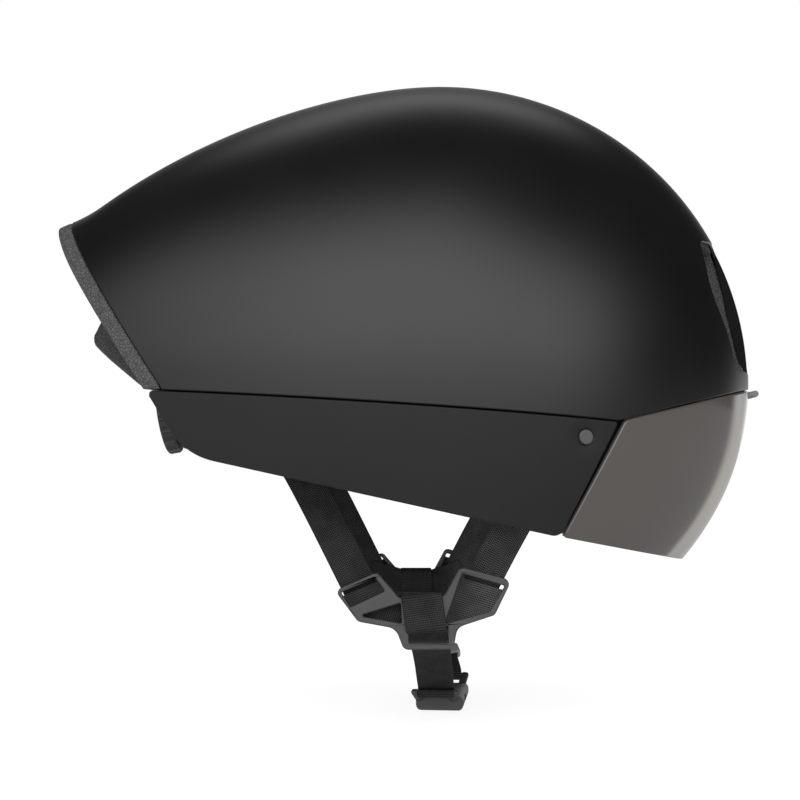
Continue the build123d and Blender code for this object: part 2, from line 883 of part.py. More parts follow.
with BuildPart() as crown_liner:
    with BuildSketch(Plane.XZ) as liner_view:
        with BuildLine():
            Polyline(
                (tail_x(top_far_z) - liner_step, top_far_z),
                (tail_x(split_rear_z) - liner_step, split_rear_z),
                (split_front_x, split_front_z),
                (front_far_x, brow_z(front_far_x)),
                (front_far_x, top_far_z),
                close=True,
            )
        make_face()
    extrude(amount=side_far_y, both=True)
    add(foam_form, mode=Mode.INTERSECT)
    add(exhaust_lip.part)
    add(head_room, mode=Mode.SUBTRACT)
    add(vent_outline(vent_ledge))
    extrude(amount=front_far_x, dir=(1, 0, 0), mode=Mode.SUBTRACT)
    add(port_block.part, mode=Mode.SUBTRACT)
    with BuildSketch(behind(housing_inner)):
        Circle(dial_radius + bay_clearance)
        with Locations((0, -bay_drop / 2)):
            Rectangle(2 * (dial_radius + bay_clearance), bay_drop)
    extrude(amount=front_far_x, mode=Mode.SUBTRACT)
    add(housing_bay, mode=Mode.SUBTRACT)
    add([anchor_pockets.part, anchor_pockets.part.mirror(Plane.XZ)], mode=Mode.SUBTRACT)
    for place in magnet_places:
        with BuildSketch(brow_plane.offset(-bond_gap)):
            with Locations(place):
                Circle(magnet_diameter / 2 + magnet_fit)
        extrude(amount=magnet_height + magnet_fit + bond_gap, mode=Mode.SUBTRACT)
    with BuildSketch(band_plane.offset(rail_low - bond_gap)):
        with Locations((-(rail_back + rail_wall + bond_gap), 0)):
            Rectangle(band_radius, rail_width + 2 * bond_gap, align=(Align.MIN, Align.CENTER))
    extrude(amount=rail_height + 2 * bond_gap, mode=Mode.SUBTRACT)


# Comfort pads on the liner's inner surface
pad_back = head_space(pad_gap)
pad_front = head_space(pad_gap + pad_thickness)
with BuildPart() as brow_pad:
    with BuildSketch(Plane.YZ):
        with Locations((0, (brow_pad_low_z + brow_pad_high_z) / 2)):
            RectangleRounded(brow_pad_width, brow_pad_high_z - brow_pad_low_z, pad_radius)
    extrude(amount=head_half_length)
    add(pad_back, mode=Mode.INTERSECT)
    add(pad_front, mode=Mode.SUBTRACT)
with BuildPart() as right_temple_pad:
    with BuildSketch(Plane.XZ):
        with Locations((temple_pad_x, temple_pad_z)):
            RectangleRounded(temple_pad_length, temple_pad_height, pad_radius)
    extrude(amount=head_half_width)
    add(pad_back, mode=Mode.INTERSECT)
    add(pad_front, mode=Mode.SUBTRACT)
with BuildPart() as right_crown_pad:
    with BuildSketch(Plane.XY):
        with Locations((crown_pad_x, -crown_pad_y)):
            RectangleRounded(crown_pad_length, crown_pad_width, pad_radius)
    extrude(amount=head_crown)
    add(pad_back, mode=Mode.INTERSECT)
    add(pad_front, mode=Mode.SUBTRACT)

# Strap divider: a flat plate with windows that the webbing lies behind
def divider_points(shares):
    """Corners of an outline in the divider's side view."""
    points = []
    for along, up in shares:
        points.append((divider_x + along * divider_width, divider_z + up * divider_height))
    return points


plate_inner_y = strap_y + webbing_thickness / 2 + running_gap
with BuildPart() as right_strap_divider:
    with BuildSketch(Plane.XZ.offset(plate_inner_y)) as divider_view:
        with BuildLine():
            Polyline(*divider_points(divider_outline_shares), close=True)
        make_face()
        fillet(divider_view.vertices(), radius=divider_radius)
    extrude(amount=divider_thickness)
    rim = right_strap_divider.faces().sort_by(Axis.Y)[0].edges()
    fillet(rim, radius=divider_edge_radius)
    with BuildSketch(Plane.XZ.offset(plate_inner_y)):
        for window_shares in (front_window_shares, rear_window_shares, rear_gusset_shares):
            with BuildLine():
                Polyline(*divider_points(window_shares), close=True)
            make_face()
        with Locations((loop_x, (chin_slot_low_z + chin_slot_high_z) / 2)):
            Rectangle(webbing_width + 2 * running_gap, chin_slot_high_z - chin_slot_low_z)
    extrude(amount=divider_thickness, mode=Mode.SUBTRACT)

# Buckle plane: X across the buckle, Y along it towards the wearer's left
yaw = radians(buckle_yaw)
buckle_plane = Plane(
    origin=(buckle_x, buckle_y, buckle_z),
    x_dir=(cos(yaw), -sin(yaw), 0),
    z_dir=(0, 0, 1),
)


# Plane square across the buckle, which its ears and the wraps of the webbing are drawn in
ear_plane = Plane(
    origin=buckle_plane.origin,
    x_dir=buckle_plane.y_dir,
    z_dir=buckle_plane.x_dir,
)
wrap_radius = (bar_diameter + webbing_thickness) / 2 + wrap_fit
loop_outer_y = plate_outer_y + running_gap + webbing_thickness / 2
loop_inner_y = strap_y - webbing_thickness - running_gap


def chin_run(side):
    """Middle line of one chin strap, from behind its divider to its bar on the buckle."""
    wrap_angle = radians(wrap_start)
    finish_y = side * (bar_offset + wrap_radius * cos(wrap_angle))
    finish_z = bar_rise + wrap_radius * sin(wrap_angle)
    start = Vector(loop_x, side * loop_inner_y, chin_bend_z)
    finish = buckle_plane.from_local_coords(Vector(0, finish_y, finish_z))
    points = [start]
    for along, down in chin_run_shares:
        x = start.X + along * (finish.X - start.X)
        y = start.Y + along * (finish.Y - start.Y)
        points.append(Vector(x, y, start.Z + down * (finish.Z - start.Z)))
    points.append(finish)
    tangents = (
        Vector(0, side * (loop_inner_y - loop_outer_y), chin_bend_z - chin_exit_z),
        buckle_plane.y_dir * (-side * sin(wrap_angle)) + buckle_plane.z_dir * cos(wrap_angle),
    )
    return Spline(points, tangents=tangents, mode=Mode.PRIVATE)


def across_run(run, share):
    """Plane square to a chin strap, with its X along the strap's width."""
    across = Vector(1, 0, 0) * (1 - share) + buckle_plane.x_dir * share
    tangent = run % share
    return Plane(origin=run @ share, x_dir=tangent.cross(across).cross(tangent), z_dir=tangent)


def chin_strap(side):
    """Chin strap from its divider to the buckle: side is -1 for right and 1 for left."""
    run = chin_run(side)
    route = (
        (side * loop_inner_y, loop_end_z),
        (side * loop_inner_y, loop_top_z),
        (side * loop_outer_y, loop_top_z),
        (side * loop_outer_y, chin_exit_z),
        (side * loop_inner_y, chin_bend_z),
    )
    radii = (loop_radius, loop_radius, chin_bend_radius)
    with BuildPart() as strap:
        with BuildSketch(Plane.YZ.offset(loop_x)):
            with BuildLine():
                FilletPolyline(*route, radius=radii)
            trace(line_width=webbing_thickness)
        extrude(amount=webbing_width / 2, both=True)
        for share in chin_section_shares:
            with BuildSketch(across_run(run, share)):
                Rectangle(webbing_width, webbing_thickness)
        loft()
        with BuildSketch(ear_plane):
            with BuildLine():
                CenterArc(
                    (side * bar_offset, bar_rise),
                    wrap_radius,
                    90 + side * (wrap_start - 90),
                    side * wrap_turn,
                )
            trace(line_width=webbing_thickness)
        extrude(amount=webbing_width / 2, both=True)
    return strap.part


with BuildPart() as right_chin_strap:
    add(chin_strap(-1))
with BuildPart() as left_chin_strap:
    add(chin_strap(1))

# Keeper: a soft ring that slides on the left chin strap and holds its loose end
keeper_plane = across_run(chin_run(1), keeper_place_share)
keeper_gap = 4 * running_gap
with BuildPart() as strap_keeper:
    with BuildSketch(keeper_plane.offset(-keeper_length / 2)):
        RectangleRounded(
            webbing_width + keeper_gap + 2 * keeper_wall,
            webbing_thickness + keeper_gap + 2 * keeper_wall,
            keeper_wall,
        )
        Rectangle(
            webbing_width + keeper_gap,
            webbing_thickness + keeper_gap,
            mode=Mode.SUBTRACT,
        )
    extrude(amount=keeper_length)


def buckle_end(side, body_end):
    """Bar that the webbing wraps, and the two ears that join it to its half of the buckle."""
    bar_y = side * bar_offset
    end_y = side * body_end
    with BuildPart() as ends:
        for ear_x in (-bar_length / 2, bar_length / 2 - ear_width):
            with BuildSketch(ear_plane.offset(ear_x)):
                with BuildLine():
                    Polyline(
                        (end_y, -buckle_height / 4),
                        (bar_y, bar_rise - ear_radius),
                        (bar_y, bar_rise + ear_radius),
                        (end_y, buckle_height / 2),
                        close=True,
                    )
                make_face()
                with Locations((bar_y, bar_rise)):
                    Circle(ear_radius)
            extrude(amount=ear_width)
        with BuildSketch(ear_plane.offset(-bar_length / 2)):
            with Locations((bar_y, bar_rise)):
                Circle(bar_diameter / 2)
        extrude(amount=bar_length)
    return ends.part


# Buckle socket: hollow, open towards the tongue, with a window in each side for the prongs
socket_back = socket_length - latch_offset
inner_width = buckle_width - 2 * socket_wall
inner_height = buckle_height - 2 * socket_wall
with BuildPart() as buckle_socket:
    with BuildSketch(buckle_plane.offset(-buckle_height / 2)):
        with Locations((0, latch_offset)):
            Rectangle(buckle_width, socket_length, align=(Align.CENTER, Align.MAX))
    extrude(amount=buckle_height)
    fillet(buckle_socket.edges().filter_by(Axis((0, 0, 0), buckle_plane.y_dir)), radius=buckle_corner_radius)
    add(buckle_end(-1, socket_back))
    with BuildSketch(buckle_plane.offset(-inner_height / 2)):
        with Locations((0, latch_offset)):
            Rectangle(inner_width, socket_depth, align=(Align.CENTER, Align.MAX))
        with Locations((0, -latch_length / 2)):
            Rectangle(buckle_width, latch_length)
    extrude(amount=inner_height, mode=Mode.SUBTRACT)

# Buckle tongue, with two prongs and a middle guide
prong_x = inner_width / 2 - running_gap - prong_width / 2
prong_height = inner_height - 2 * running_gap
with BuildPart() as buckle_tongue:
    with BuildSketch(buckle_plane.offset(-buckle_height / 2)):
        with Locations((0, latch_offset + running_gap)):
            Rectangle(buckle_width, tongue_length, align=(Align.CENTER, Align.MIN))
    extrude(amount=buckle_height)
    fillet(buckle_tongue.edges().filter_by(Axis((0, 0, 0), buckle_plane.y_dir)), radius=buckle_corner_radius)
    add(buckle_end(1, latch_offset + running_gap + tongue_length))
    with BuildSketch(buckle_plane.offset(-prong_height / 2)):
        with Locations((-prong_x, latch_offset + running_gap), (prong_x, latch_offset + running_gap)):
            Rectangle(prong_width, prong_length, align=(Align.CENTER, Align.MAX))
        with Locations((0, latch_offset + running_gap)):
            Rectangle(guide_width, prong_length, align=(Align.CENTER, Align.MAX))
    extrude(amount=prong_height)

# The wearer's left side mirrors the right
with BuildPart() as left_side_panel:
    mirror(right_side_panel.part, about=Plane.XZ)
with BuildPart() as left_cheek_foam:
    mirror(right_cheek_foam.part, about=Plane.XZ)
with BuildPart() as left_visor_stud:
    mirror(right_visor_stud.part, about=Plane.XZ)
with BuildPart() as left_front_strap:
    mirror(right_front_strap.part, about=Plane.XZ)
with BuildPart() as left_rear_strap:
    mirror(right_rear_strap.part, about=Plane.XZ)
with BuildPart() as left_strap_anchors:
    mirror(right_strap_anchors.part, about=Plane.XZ)
with BuildPart() as left_strap_divider:
    mirror(right_strap_divider.part, about=Plane.XZ)
with BuildPart() as left_temple_pad:
    mirror(right_temple_pad.part, about=Plane.XZ)
with BuildPart() as left_crown_pad:
    mirror(right_crown_pad.part, about=Plane.XZ)

pieces = {
    "outer_shell": outer_shell,
    "crown_liner": crown_liner,
    "right_side_panel": right_side_panel,
    "left_side_panel": left_side_panel,
    "right_cheek_foam": right_cheek_foam,
    "left_cheek_foam": left_cheek_foam,
    "right_visor_stud": right_visor_stud,
    "left_visor_stud": left_visor_stud,
    "brow_magnets": brow_magnets,
    "visor_lens": visor_lens,
    "visor_carriers": visor_carriers,
    "visor_magnets": visor_magnets,
    "visor_tab": visor_tab,
    "brow_pad": brow_pad,
    "right_temple_pad": right_temple_pad,
    "left_temple_pad": left_temple_pad,
    "right_crown_pad": right_crown_pad,
    "left_crown_pad": left_crown_pad,
    "height_rail": height_rail,
    "cradle": cradle,
    "dial_housing": dial_housing,
    "dial_knob": dial_knob,
    "dial_pinion": dial_pinion,
    "left_band_arm": left_band_arm,
    "right_band_arm": right_band_arm,
    "right_strap_anchors": right_strap_anchors,
    "left_strap_anchors": left_strap_anchors,
    "right_front_strap": right_front_strap,
    "left_front_strap": left_front_strap,
    "right_rear_strap": right_rear_strap,
    "left_rear_strap": left_rear_strap,
    "right_strap_divider": right_strap_divider,
    "left_strap_divider": left_strap_divider,
    "right_chin_strap": right_chin_strap,
    "left_chin_strap": left_chin_strap,
    "strap_keeper": strap_keeper,
    "buckle_socket": buckle_socket,
    "buckle_tongue": buckle_tongue,
}
for name, piece in pieces.items():
    piece.part.label = name
    export_step(piece.part, "parts/" + name + ".step")
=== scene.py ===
import json
import bmesh
import bpy
import numpy as np
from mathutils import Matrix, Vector
from mathutils.geometry import tessellate_polygon


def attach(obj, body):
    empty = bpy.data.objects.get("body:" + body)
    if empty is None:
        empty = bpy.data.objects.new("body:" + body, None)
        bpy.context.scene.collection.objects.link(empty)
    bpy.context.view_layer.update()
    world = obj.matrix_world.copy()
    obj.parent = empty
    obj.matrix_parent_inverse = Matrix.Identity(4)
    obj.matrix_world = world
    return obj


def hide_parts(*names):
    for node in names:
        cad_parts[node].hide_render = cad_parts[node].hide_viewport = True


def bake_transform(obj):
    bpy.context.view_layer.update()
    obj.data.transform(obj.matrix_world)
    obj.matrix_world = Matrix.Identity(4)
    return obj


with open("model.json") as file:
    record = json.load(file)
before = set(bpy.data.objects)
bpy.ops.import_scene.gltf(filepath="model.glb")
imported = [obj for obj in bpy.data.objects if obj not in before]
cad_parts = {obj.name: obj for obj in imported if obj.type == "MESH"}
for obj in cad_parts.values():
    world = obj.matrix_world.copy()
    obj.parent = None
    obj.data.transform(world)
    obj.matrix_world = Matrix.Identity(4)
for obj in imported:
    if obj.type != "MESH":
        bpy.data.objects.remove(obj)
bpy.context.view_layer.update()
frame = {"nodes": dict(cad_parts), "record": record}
scene = bpy.context.scene
print("frame loaded with", len(frame["nodes"]), "nodes")

# Everything is in metres: +X forward, +Y to the wearer's left, +Z up.
helmet = {
    "crownHeight": 0.124,
    "frontReach": 0.1295,
    "tailReach": 0.193,
    "halfWidth": 0.104,
    "widestX": -0.0055,
    "chinFall": 0.117,
    "sideFall": 0.2,
    "tailDroop": 0.195,
    "crownFill": 0.08,
    "tailTaper": 0.2,
    # Rows of points stand a step apart up to the even top, and from there at even angles.
    "evenTop": 0.06,
    "rowStep": 0.0013,
}


class Wire:
    # One value in a node tree. Calculating with it adds Math nodes.
    def __init__(self, graph, socket):
        self.graph = graph
        self.socket = socket

    def math(self, operation, *values):
        return self.graph.node("ShaderNodeMath", {"operation": operation}, dict(enumerate(values)))

    def __add__(self, other):
        return self.math("ADD", self, other)

    def __sub__(self, other):
        return self.math("SUBTRACT", self, other)

    def __mul__(self, other):
        return self.math("MULTIPLY", self, other)

    def __truediv__(self, other):
        return self.math("DIVIDE", self, other)

    def __radd__(self, other):
        return self.math("ADD", other, self)

    def __rsub__(self, other):
        return self.math("SUBTRACT", other, self)

    def __rmul__(self, other):
        return self.math("MULTIPLY", other, self)

    def __abs__(self):
        return self.math("ABSOLUTE", self)

    def wave(self):
        return self.math("SINE", self)

    def ramp(self, low, high, start=0, stop=1):
        # Runs from start to stop in a smooth step while the value goes from low to high.
        settings = {"interpolation_type": "SMOOTHSTEP"}
        return self.graph.node("ShaderNodeMapRange", settings, {0: self, 1: low, 2: high, 3: start, 4: stop})


class Graph:
    # Short ways to add nodes to a tree.
    def __init__(self, tree):
        self.tree = tree

    def join(self, socket, value):
        if isinstance(value, Wire):
            self.tree.links.new(value.socket, socket)
        elif isinstance(value, (tuple, list)) and len(value) == 3 and socket.type == "RGBA":
            socket.default_value = (*value, 1)
        else:
            socket.default_value = value

    def node(self, kind, settings, sockets, output=0):
        # Adds one node: its settings first, then the values or links of its sockets.
        made = self.tree.nodes.new(kind)
        for name, value in settings.items():
            setattr(made, name, value)
        for name, value in sockets.items():
            self.join(made.inputs[name], value)
        return Wire(self, made.outputs[output])

    def mixed(self, share, first, second):
        # Colour that goes from first to second as share goes from 0 to 1.
        return self.node("ShaderNodeMix", {"data_type": "RGBA"}, {0: share, 6: first, 7: second}, 2)

    def between(self, share, first, second):
        # Number that goes from first to second as share goes from 0 to 1.
        return self.node("ShaderNodeMix", {"data_type": "FLOAT"}, {0: share, 2: first, 3: second}, 0)

    def axes(self, vector):
        return [self.node("ShaderNodeSeparateXYZ", {}, {0: vector}, axis) for axis in "XYZ"]


class Finish(Graph):
    # A material with a Principled shader.
    def __init__(self, name, colour, roughness, **constants):
        self.material = bpy.data.materials.new(name)
        self.material.use_nodes = True
        super().__init__(self.material.node_tree)
        self.shader = self.tree.nodes["Principled BSDF"]
        self.feed("Base Color", colour)
        self.feed("Roughness", roughness)
        for socket, value in constants.items():
            self.feed(socket.replace("_", " "), value)
        self.place = self.node("ShaderNodeTexCoord", {}, {}, "Object")

    def feed(self, socket, value):
        self.join(self.shader.inputs[socket], value)

    def noise(self, scale, detail=3, roughness=0.5):
        # scale is the number of waves per metre
        sockets = {"Vector": self.place, "Scale": scale, "Detail": detail, "Roughness": roughness}
        return self.node("ShaderNodeTexNoise", {}, sockets, "Fac")

    def cells(self, scale, output="Distance", feature="F1"):
        sockets = {"Vector": self.place, "Scale": scale}
        return self.node("ShaderNodeTexVoronoi", {"feature": feature}, sockets, output)

    def bump(self, height, distance, strength=1.0):
        sockets = {"Height": height, "Distance": distance, "Strength": strength}
        self.feed("Normal", self.node("ShaderNodeBump", {}, sockets, "Normal"))


def unit(vectors):
    return vectors / np.linalg.norm(vectors, axis=-1, keepdims=True)


def ringSizes(height, top=1):
    # Reach ahead, reach behind and half width of the level ring at a height. Above the origin
    # they shrink as a circle does towards the crown, below it as flatter ellipses.
    form = helmet
    rise = np.clip(height / form["crownHeight"], 0, top)
    roundOff = np.sqrt(1 - rise**2)
    low = height < 0
    ahead = form["frontReach"] * np.where(low, np.sqrt(1 - (height / form["chinFall"]) ** 2), roundOff)
    behind = form["tailReach"] * roundOff * (1 - form["tailDroop"] * rise**2)
    fall = np.sqrt(1 - (height / form["sideFall"]) ** 2)
    width = form["halfWidth"] * np.where(low, fall, roundOff * (1 + form["crownFill"] * rise**2))
    return ahead, behind, width


def helmetPoint(turn, height):
    # Level rings round the widest point: half an ellipse ahead of it, a tapered half behind.
    ahead, behind, width = ringSizes(height)
    along = np.cos(turn)
    rear = along < 0
    x = helmet["widestX"] + np.where(rear, behind, ahead) * along
    y = width * np.sin(turn) * np.where(rear, 1 - helmet["tailTaper"] * along**2, 1)
    return np.stack(np.broadcast_arrays(x, y, height), -1)


def helmetLevel(points):
    # Zero on the helmet's surface, negative inside: the ring's own equation at the point's
    # height. The top is just under 1, so that no ring shrinks to nothing.
    x, y, z = points[..., 0], points[..., 1], points[..., 2]
    ahead, behind, width = ringSizes(z, 0.99999)
    offset = x - helmet["widestX"]
    along = offset / np.where(offset < 0, behind, ahead)
    taper = np.where(offset < 0, 1 - helmet["tailTaper"] * np.minimum(along**2, 1), 1)
    return along**2 + (y / (width * taper)) ** 2 - 1


def slope(field, points, step=2e-5):
    # Gradient by central differences.
    return np.stack(
        [(field(points + axis) - field(points - axis)) / (2 * step) for axis in np.eye(3) * step],
        -1,
    )


def helmetNormal(points):
    return unit(slope(helmetLevel, points))


def settled(points, fields):
    # Newton steps that bring each point to where all the fields are zero.
    for field in fields * 3:
        gradient = slope(field, points)
        size = np.sum(gradient**2, -1, keepdims=True)
        points = points - field(points)[:, None] * gradient / np.maximum(size, 1e-9)
    return points


def welded(points, faces):
    # Joins points that share a place and drops the faces that this closes up.
    keys, first, place = np.unique(
        np.round(points / 1e-7).astype(np.int64), axis=0, return_index=True, return_inverse=True
    )
    faces = place.reshape(-1)[faces]
    whole = (faces[:, 0] != faces[:, 1]) & (faces[:, 1] != faces[:, 2]) & (faces[:, 2] != faces[:, 0])
    return points[first], faces[whole]


def gridFaces(rows, columns):
    # Two triangles for each cell of a grid of points, counted row by row.
    corner = (np.arange(rows - 1)[:, None] * columns + np.arange(columns - 1)).ravel()
    lower = np.stack((corner, corner + 1, corner + columns + 1), -1)
    upper = np.stack((corner, corner + columns + 1, corner + columns), -1)
    return np.concatenate((lower, upper))


def helmetPatch(turns, heights):
    # Piece of the helmet's surface over a grid of turns and heights.
    points = helmetPoint(turns[None, :], heights[:, None]).reshape(-1, 3)
    return welded(points, gridFaces(len(heights), len(turns)))


def evenPatch(turns, heights):
    # The same over even grids, each given as first, last and count, with the turns in degrees.
    return helmetPatch(np.radians(np.linspace(*turns)), np.linspace(*heights))


def rowHeights(lowest, highest, count):
    # Heights of rows: even steps up to the even top, then count rows at even angles of the crown.
    crown, top = helmet["crownHeight"], helmet["evenTop"]
    arc = np.linspace(np.arcsin(top / crown), np.arcsin(highest / crown), count)
    return np.concatenate((np.arange(lowest, top, helmet["rowStep"]), crown * np.sin(arc)))


def clipped(points, faces, field, snap=0.00015):
    # Keeps what lies where field is above zero, cut along its zero line on the helmet's surface.
    values = field(points)
    near = np.abs(values) < snap
    points = points.copy()
    points[near] = settled(points[near], [field, helmetLevel])
    values[near] = 0
    inside = values >= 0
    count = inside[faces].sum(1)
    whole = faces[count == 3]
    cut = faces[(count == 1) | (count == 2)]
    odd = np.where((inside[cut].sum(1) == 1)[:, None], inside[cut], ~inside[cut])
    first = np.argmax(odd, 1)
    tip, left, right = (cut[np.arange(len(cut)), (first + k) % 3] for k in range(3))
    edges = np.sort(np.concatenate((np.stack((tip, left), -1), np.stack((tip, right), -1))), 1)
    unique, place = np.unique(edges, axis=0, return_inverse=True)
    place = place.reshape(-1) + len(points)
    share = values[unique[:, 0]] / (values[unique[:, 0]] - values[unique[:, 1]])
    crossing = points[unique[:, 0]] + share[:, None] * (points[unique[:, 1]] - points[unique[:, 0]])
    crossing = settled(crossing, [field, helmetLevel])
    toLeft, toRight = place[: len(cut)], place[len(cut) :]
    keepsTip = inside[tip]
    corner = np.stack((tip, toLeft, toRight), -1)[keepsTip]
    lower = np.stack((toLeft, left, right), -1)[~keepsTip]
    upper = np.stack((toLeft, right, toRight), -1)[~keepsTip]
    points = np.concatenate((points, crossing))
    return used(*welded(points, np.concatenate((whole, corner, lower, upper))))


def cutTo(points, faces, fields, inset=0):
    # Keeps what lies where every field is above the inset.
    for field in fields:
        points, faces = clipped(points, faces, lambda spots, field=field: field(spots) - inset)
    return points, faces


def used(points, faces):
    # Drops the points that no face has.
    kept, place = np.unique(faces, return_inverse=True)
    return points[kept], place.reshape(faces.shape)


def walled(points, faces, normals, wall, radius, steps=4):
    # Gives a surface its wall: the inner face lies wall below, and the rim between them
    # goes radius outwards round a quarter circle, straight down, and round another one.
    total = len(points)
    start = faces.ravel()
    end = faces[:, [1, 2, 0]].ravel()
    border = ~np.isin(start * total + end, end * total + start)
    start, end = start[border], end[border]
    outward = np.cross(unit(points[end] - points[start]), unit(normals[start] + normals[end]))
    lean = np.zeros_like(points)
    np.add.at(lean, start, outward)
    np.add.at(lean, end, outward)
    rim = np.unique(start)
    place = np.zeros(total, int)
    place[rim] = np.arange(len(rim))
    lean = lean[rim]
    size = np.linalg.norm(lean, axis=1, keepdims=True)
    way = lean / size
    reach = way * np.clip(2 / size, 1, 1.5)
    angles = np.linspace(0, np.pi / 2, steps)
    out = np.concatenate((np.sin(angles), np.cos(angles))) * radius
    down = np.concatenate(((1 - np.cos(angles)) * radius, wall - (1 - np.sin(angles)) * radius))
    tilt = np.concatenate((angles, np.pi / 2 + angles))
    rings = points[rim] + out[:, None, None] * reach - down[:, None, None] * normals[rim]
    ringNormals = np.sin(tilt)[:, None, None] * way + np.cos(tilt)[:, None, None] * normals[rim]
    count = len(rim)
    index = [rim] + [2 * total + k * count + np.arange(count) for k in range(len(out) - 2)]
    index.append(rim + total)
    strips = []
    for upper, lower in zip(index, index[1:]):
        a, b = upper[place[end]], upper[place[start]]
        c, d = lower[place[start]], lower[place[end]]
        strips += [np.stack((a, b, c), -1), np.stack((a, c, d), -1)]
    allPoints = np.concatenate((points, points - wall * normals, rings[1:-1].reshape(-1, 3)))
    allNormals = np.concatenate((normals, -normals, ringNormals[1:-1].reshape(-1, 3)))
    allFaces = np.concatenate((faces, faces[:, ::-1] + total, *strips))
    return allPoints, allFaces, allNormals


def addPiece(name, points, faces, material, normals=None, flat=False):
    mesh = bpy.data.meshes.new(name)
    mesh.from_pydata(points.tolist(), [], faces.tolist())
    mesh.polygons.foreach_set("use_smooth", np.full(len(mesh.polygons), not flat))
    if normals is not None:
        mesh.normals_split_custom_set_from_vertices(unit(normals).tolist())
    mesh.materials.append(material)
    made = bpy.data.objects.new(name, mesh)
    scene.collection.objects.link(made)
    return made


def seat(piece, body, slot, *nodes):
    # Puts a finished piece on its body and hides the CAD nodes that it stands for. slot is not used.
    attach(piece, body)
    if nodes:
        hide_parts(*nodes)
    return piece


def mirrored(points, faces, normals=None):
    # The same surface on the other side of the middle plane, still facing outwards.
    flip = np.array([1, -1, 1])
    if normals is None:
        return points * flip, faces[:, ::-1]
    return points * flip, faces[:, ::-1], normals * flip


def seatPair(name, skin, material, slot, node=None, flat=False):
    # One piece on the wearer's right and its mirror image on the left, both on the root body.
    # node is what follows the side in the names of the CAD nodes that they stand for.
    for side, part in (("right", skin), ("left", mirrored(*skin))):
        made = addPiece(side + name, part[0], part[1], material, *part[2:], flat=flat)
        seat(made, "root", slot, *([side + node] if node else []))


def cornerArc(before, corner, after, radius, steps):
    # Arc that touches both runs at a corner. A corner without radius, or all but straight, stays.
    one, two = unit(before - corner), unit(after - corner)
    half = np.arccos(np.clip(one @ two, -1, 1)) / 2
    if radius == 0 or half > 1.56:
        return corner[None]
    middle = corner + unit(one + two) * radius / np.sin(half)
    start = corner + one * radius / np.tan(half) - middle
    finish = corner + two * radius / np.tan(half) - middle
    sweep = np.pi - 2 * half
    share = np.linspace(0, 1, steps)[:, None]
    arc = np.sin((1 - share) * sweep) * start + np.sin(share * sweep) * finish
    return middle + arc / np.sin(sweep)


def roundedOutline(corners, radii, steps=10):
    # Closed outline through straight runs, each corner rounded to its radius.
    corners = np.array(corners, float)
    bends = zip(np.roll(corners, 1, 0), corners, np.roll(corners, -1, 0), radii)
    return np.concatenate([cornerArc(*bend, steps) for bend in bends])


def roundedPath(corners, radii, steps=8):
    # Open polyline in space with each inner corner rounded to its radius.
    corners = np.array(corners, float)
    bends = zip(corners, corners[1:], corners[2:], radii)
    return np.concatenate((corners[:1], *(cornerArc(*bend, steps) for bend in bends), corners[-1:]))


def outlineField(outline, flat):
    # Distance from a closed outline, positive inside it. flat turns points into the outline's plane.
    start = outline
    run = np.roll(outline, -1, 0) - outline

    def field(points):
        spot = flat(points)[:, None, :]
        offset = spot - start
        share = np.clip(np.sum(offset * run, -1) / np.sum(run**2, -1), 0, 1)
        distance = np.sqrt(np.min(np.sum((offset - share[..., None] * run) ** 2, -1), 1))
        end = start + run
        crosses = (start[:, 1] > spot[..., 1]) != (end[:, 1] > spot[..., 1])
        rise = np.where(run[:, 1] == 0, 1, run[:, 1])
        meets = start[:, 0] + (spot[..., 1] - start[:, 1]) * run[:, 0] / rise
        inside = np.sum(crosses & (spot[..., 0] < meets), 1) % 2 == 1
        return np.where(inside, distance, -distance)

    return field


def lineField(first, second):
    # Distance above a line in side view, drawn from first to second towards +X.
    first = np.array(first)
    way = unit(np.array(second) - first)
    return lambda points: (points[:, 2] - first[1]) * way[0] - (points[:, 0] - first[0]) * way[1]


def sideView(points):
    return points[:, [0, 2]]


def frontView(points):
    return np.stack((np.abs(points[:, 1]), points[:, 2]), -1)


# Finishes
print("making the finishes")
plasticGrain = {"scale": 5200, "depth": 0.000012}
beads = {"scale": 820, "depth": 0.00008}
webbing = {
    "width": 0.015,
    "sideWidth": 0.013,
    "thickness": 0.0012,
    "rib": 0.00078,
    "cord": 0.0006,
    "spacing": 0.0006,
    "flatPoints": 6,
    "edgePoints": 4,
    "edgeBend": 60,
    # The straps ahead of this run are painted paler, as light falls more on them than on the rear straps.
    "fresh": (-0.004, 0.012),
}


def shellFinish():
    made = Finish("satinBlackShell", (0.003, 0.003, 0.0031), 0.32)
    haze = made.noise(38, 3)
    grain = made.noise(4200, 2)
    made.feed("Roughness", 0.3 + 0.06 * haze + 0.02 * grain)
    made.feed("Base Color", made.mixed(haze, (0.0025, 0.0025, 0.0026), (0.0035, 0.0035, 0.0036)))
    made.bump(made.noise(1500, 4, 0.6), 0.000004)
    return made.material


def panelFinish():
    made = Finish("satinBlackPanel", (0.011, 0.011, 0.0112), 0.45, Specular_IOR_Level=0.2)
    haze = made.noise(55, 3)
    made.feed("Roughness", 0.42 + 0.08 * haze)
    made.feed("Base Color", made.mixed(haze, (0.0115, 0.0115, 0.0118), (0.0135, 0.0135, 0.0138)))
    made.bump(made.noise(3600, 3, 0.6), 0.000008)
    return made.material


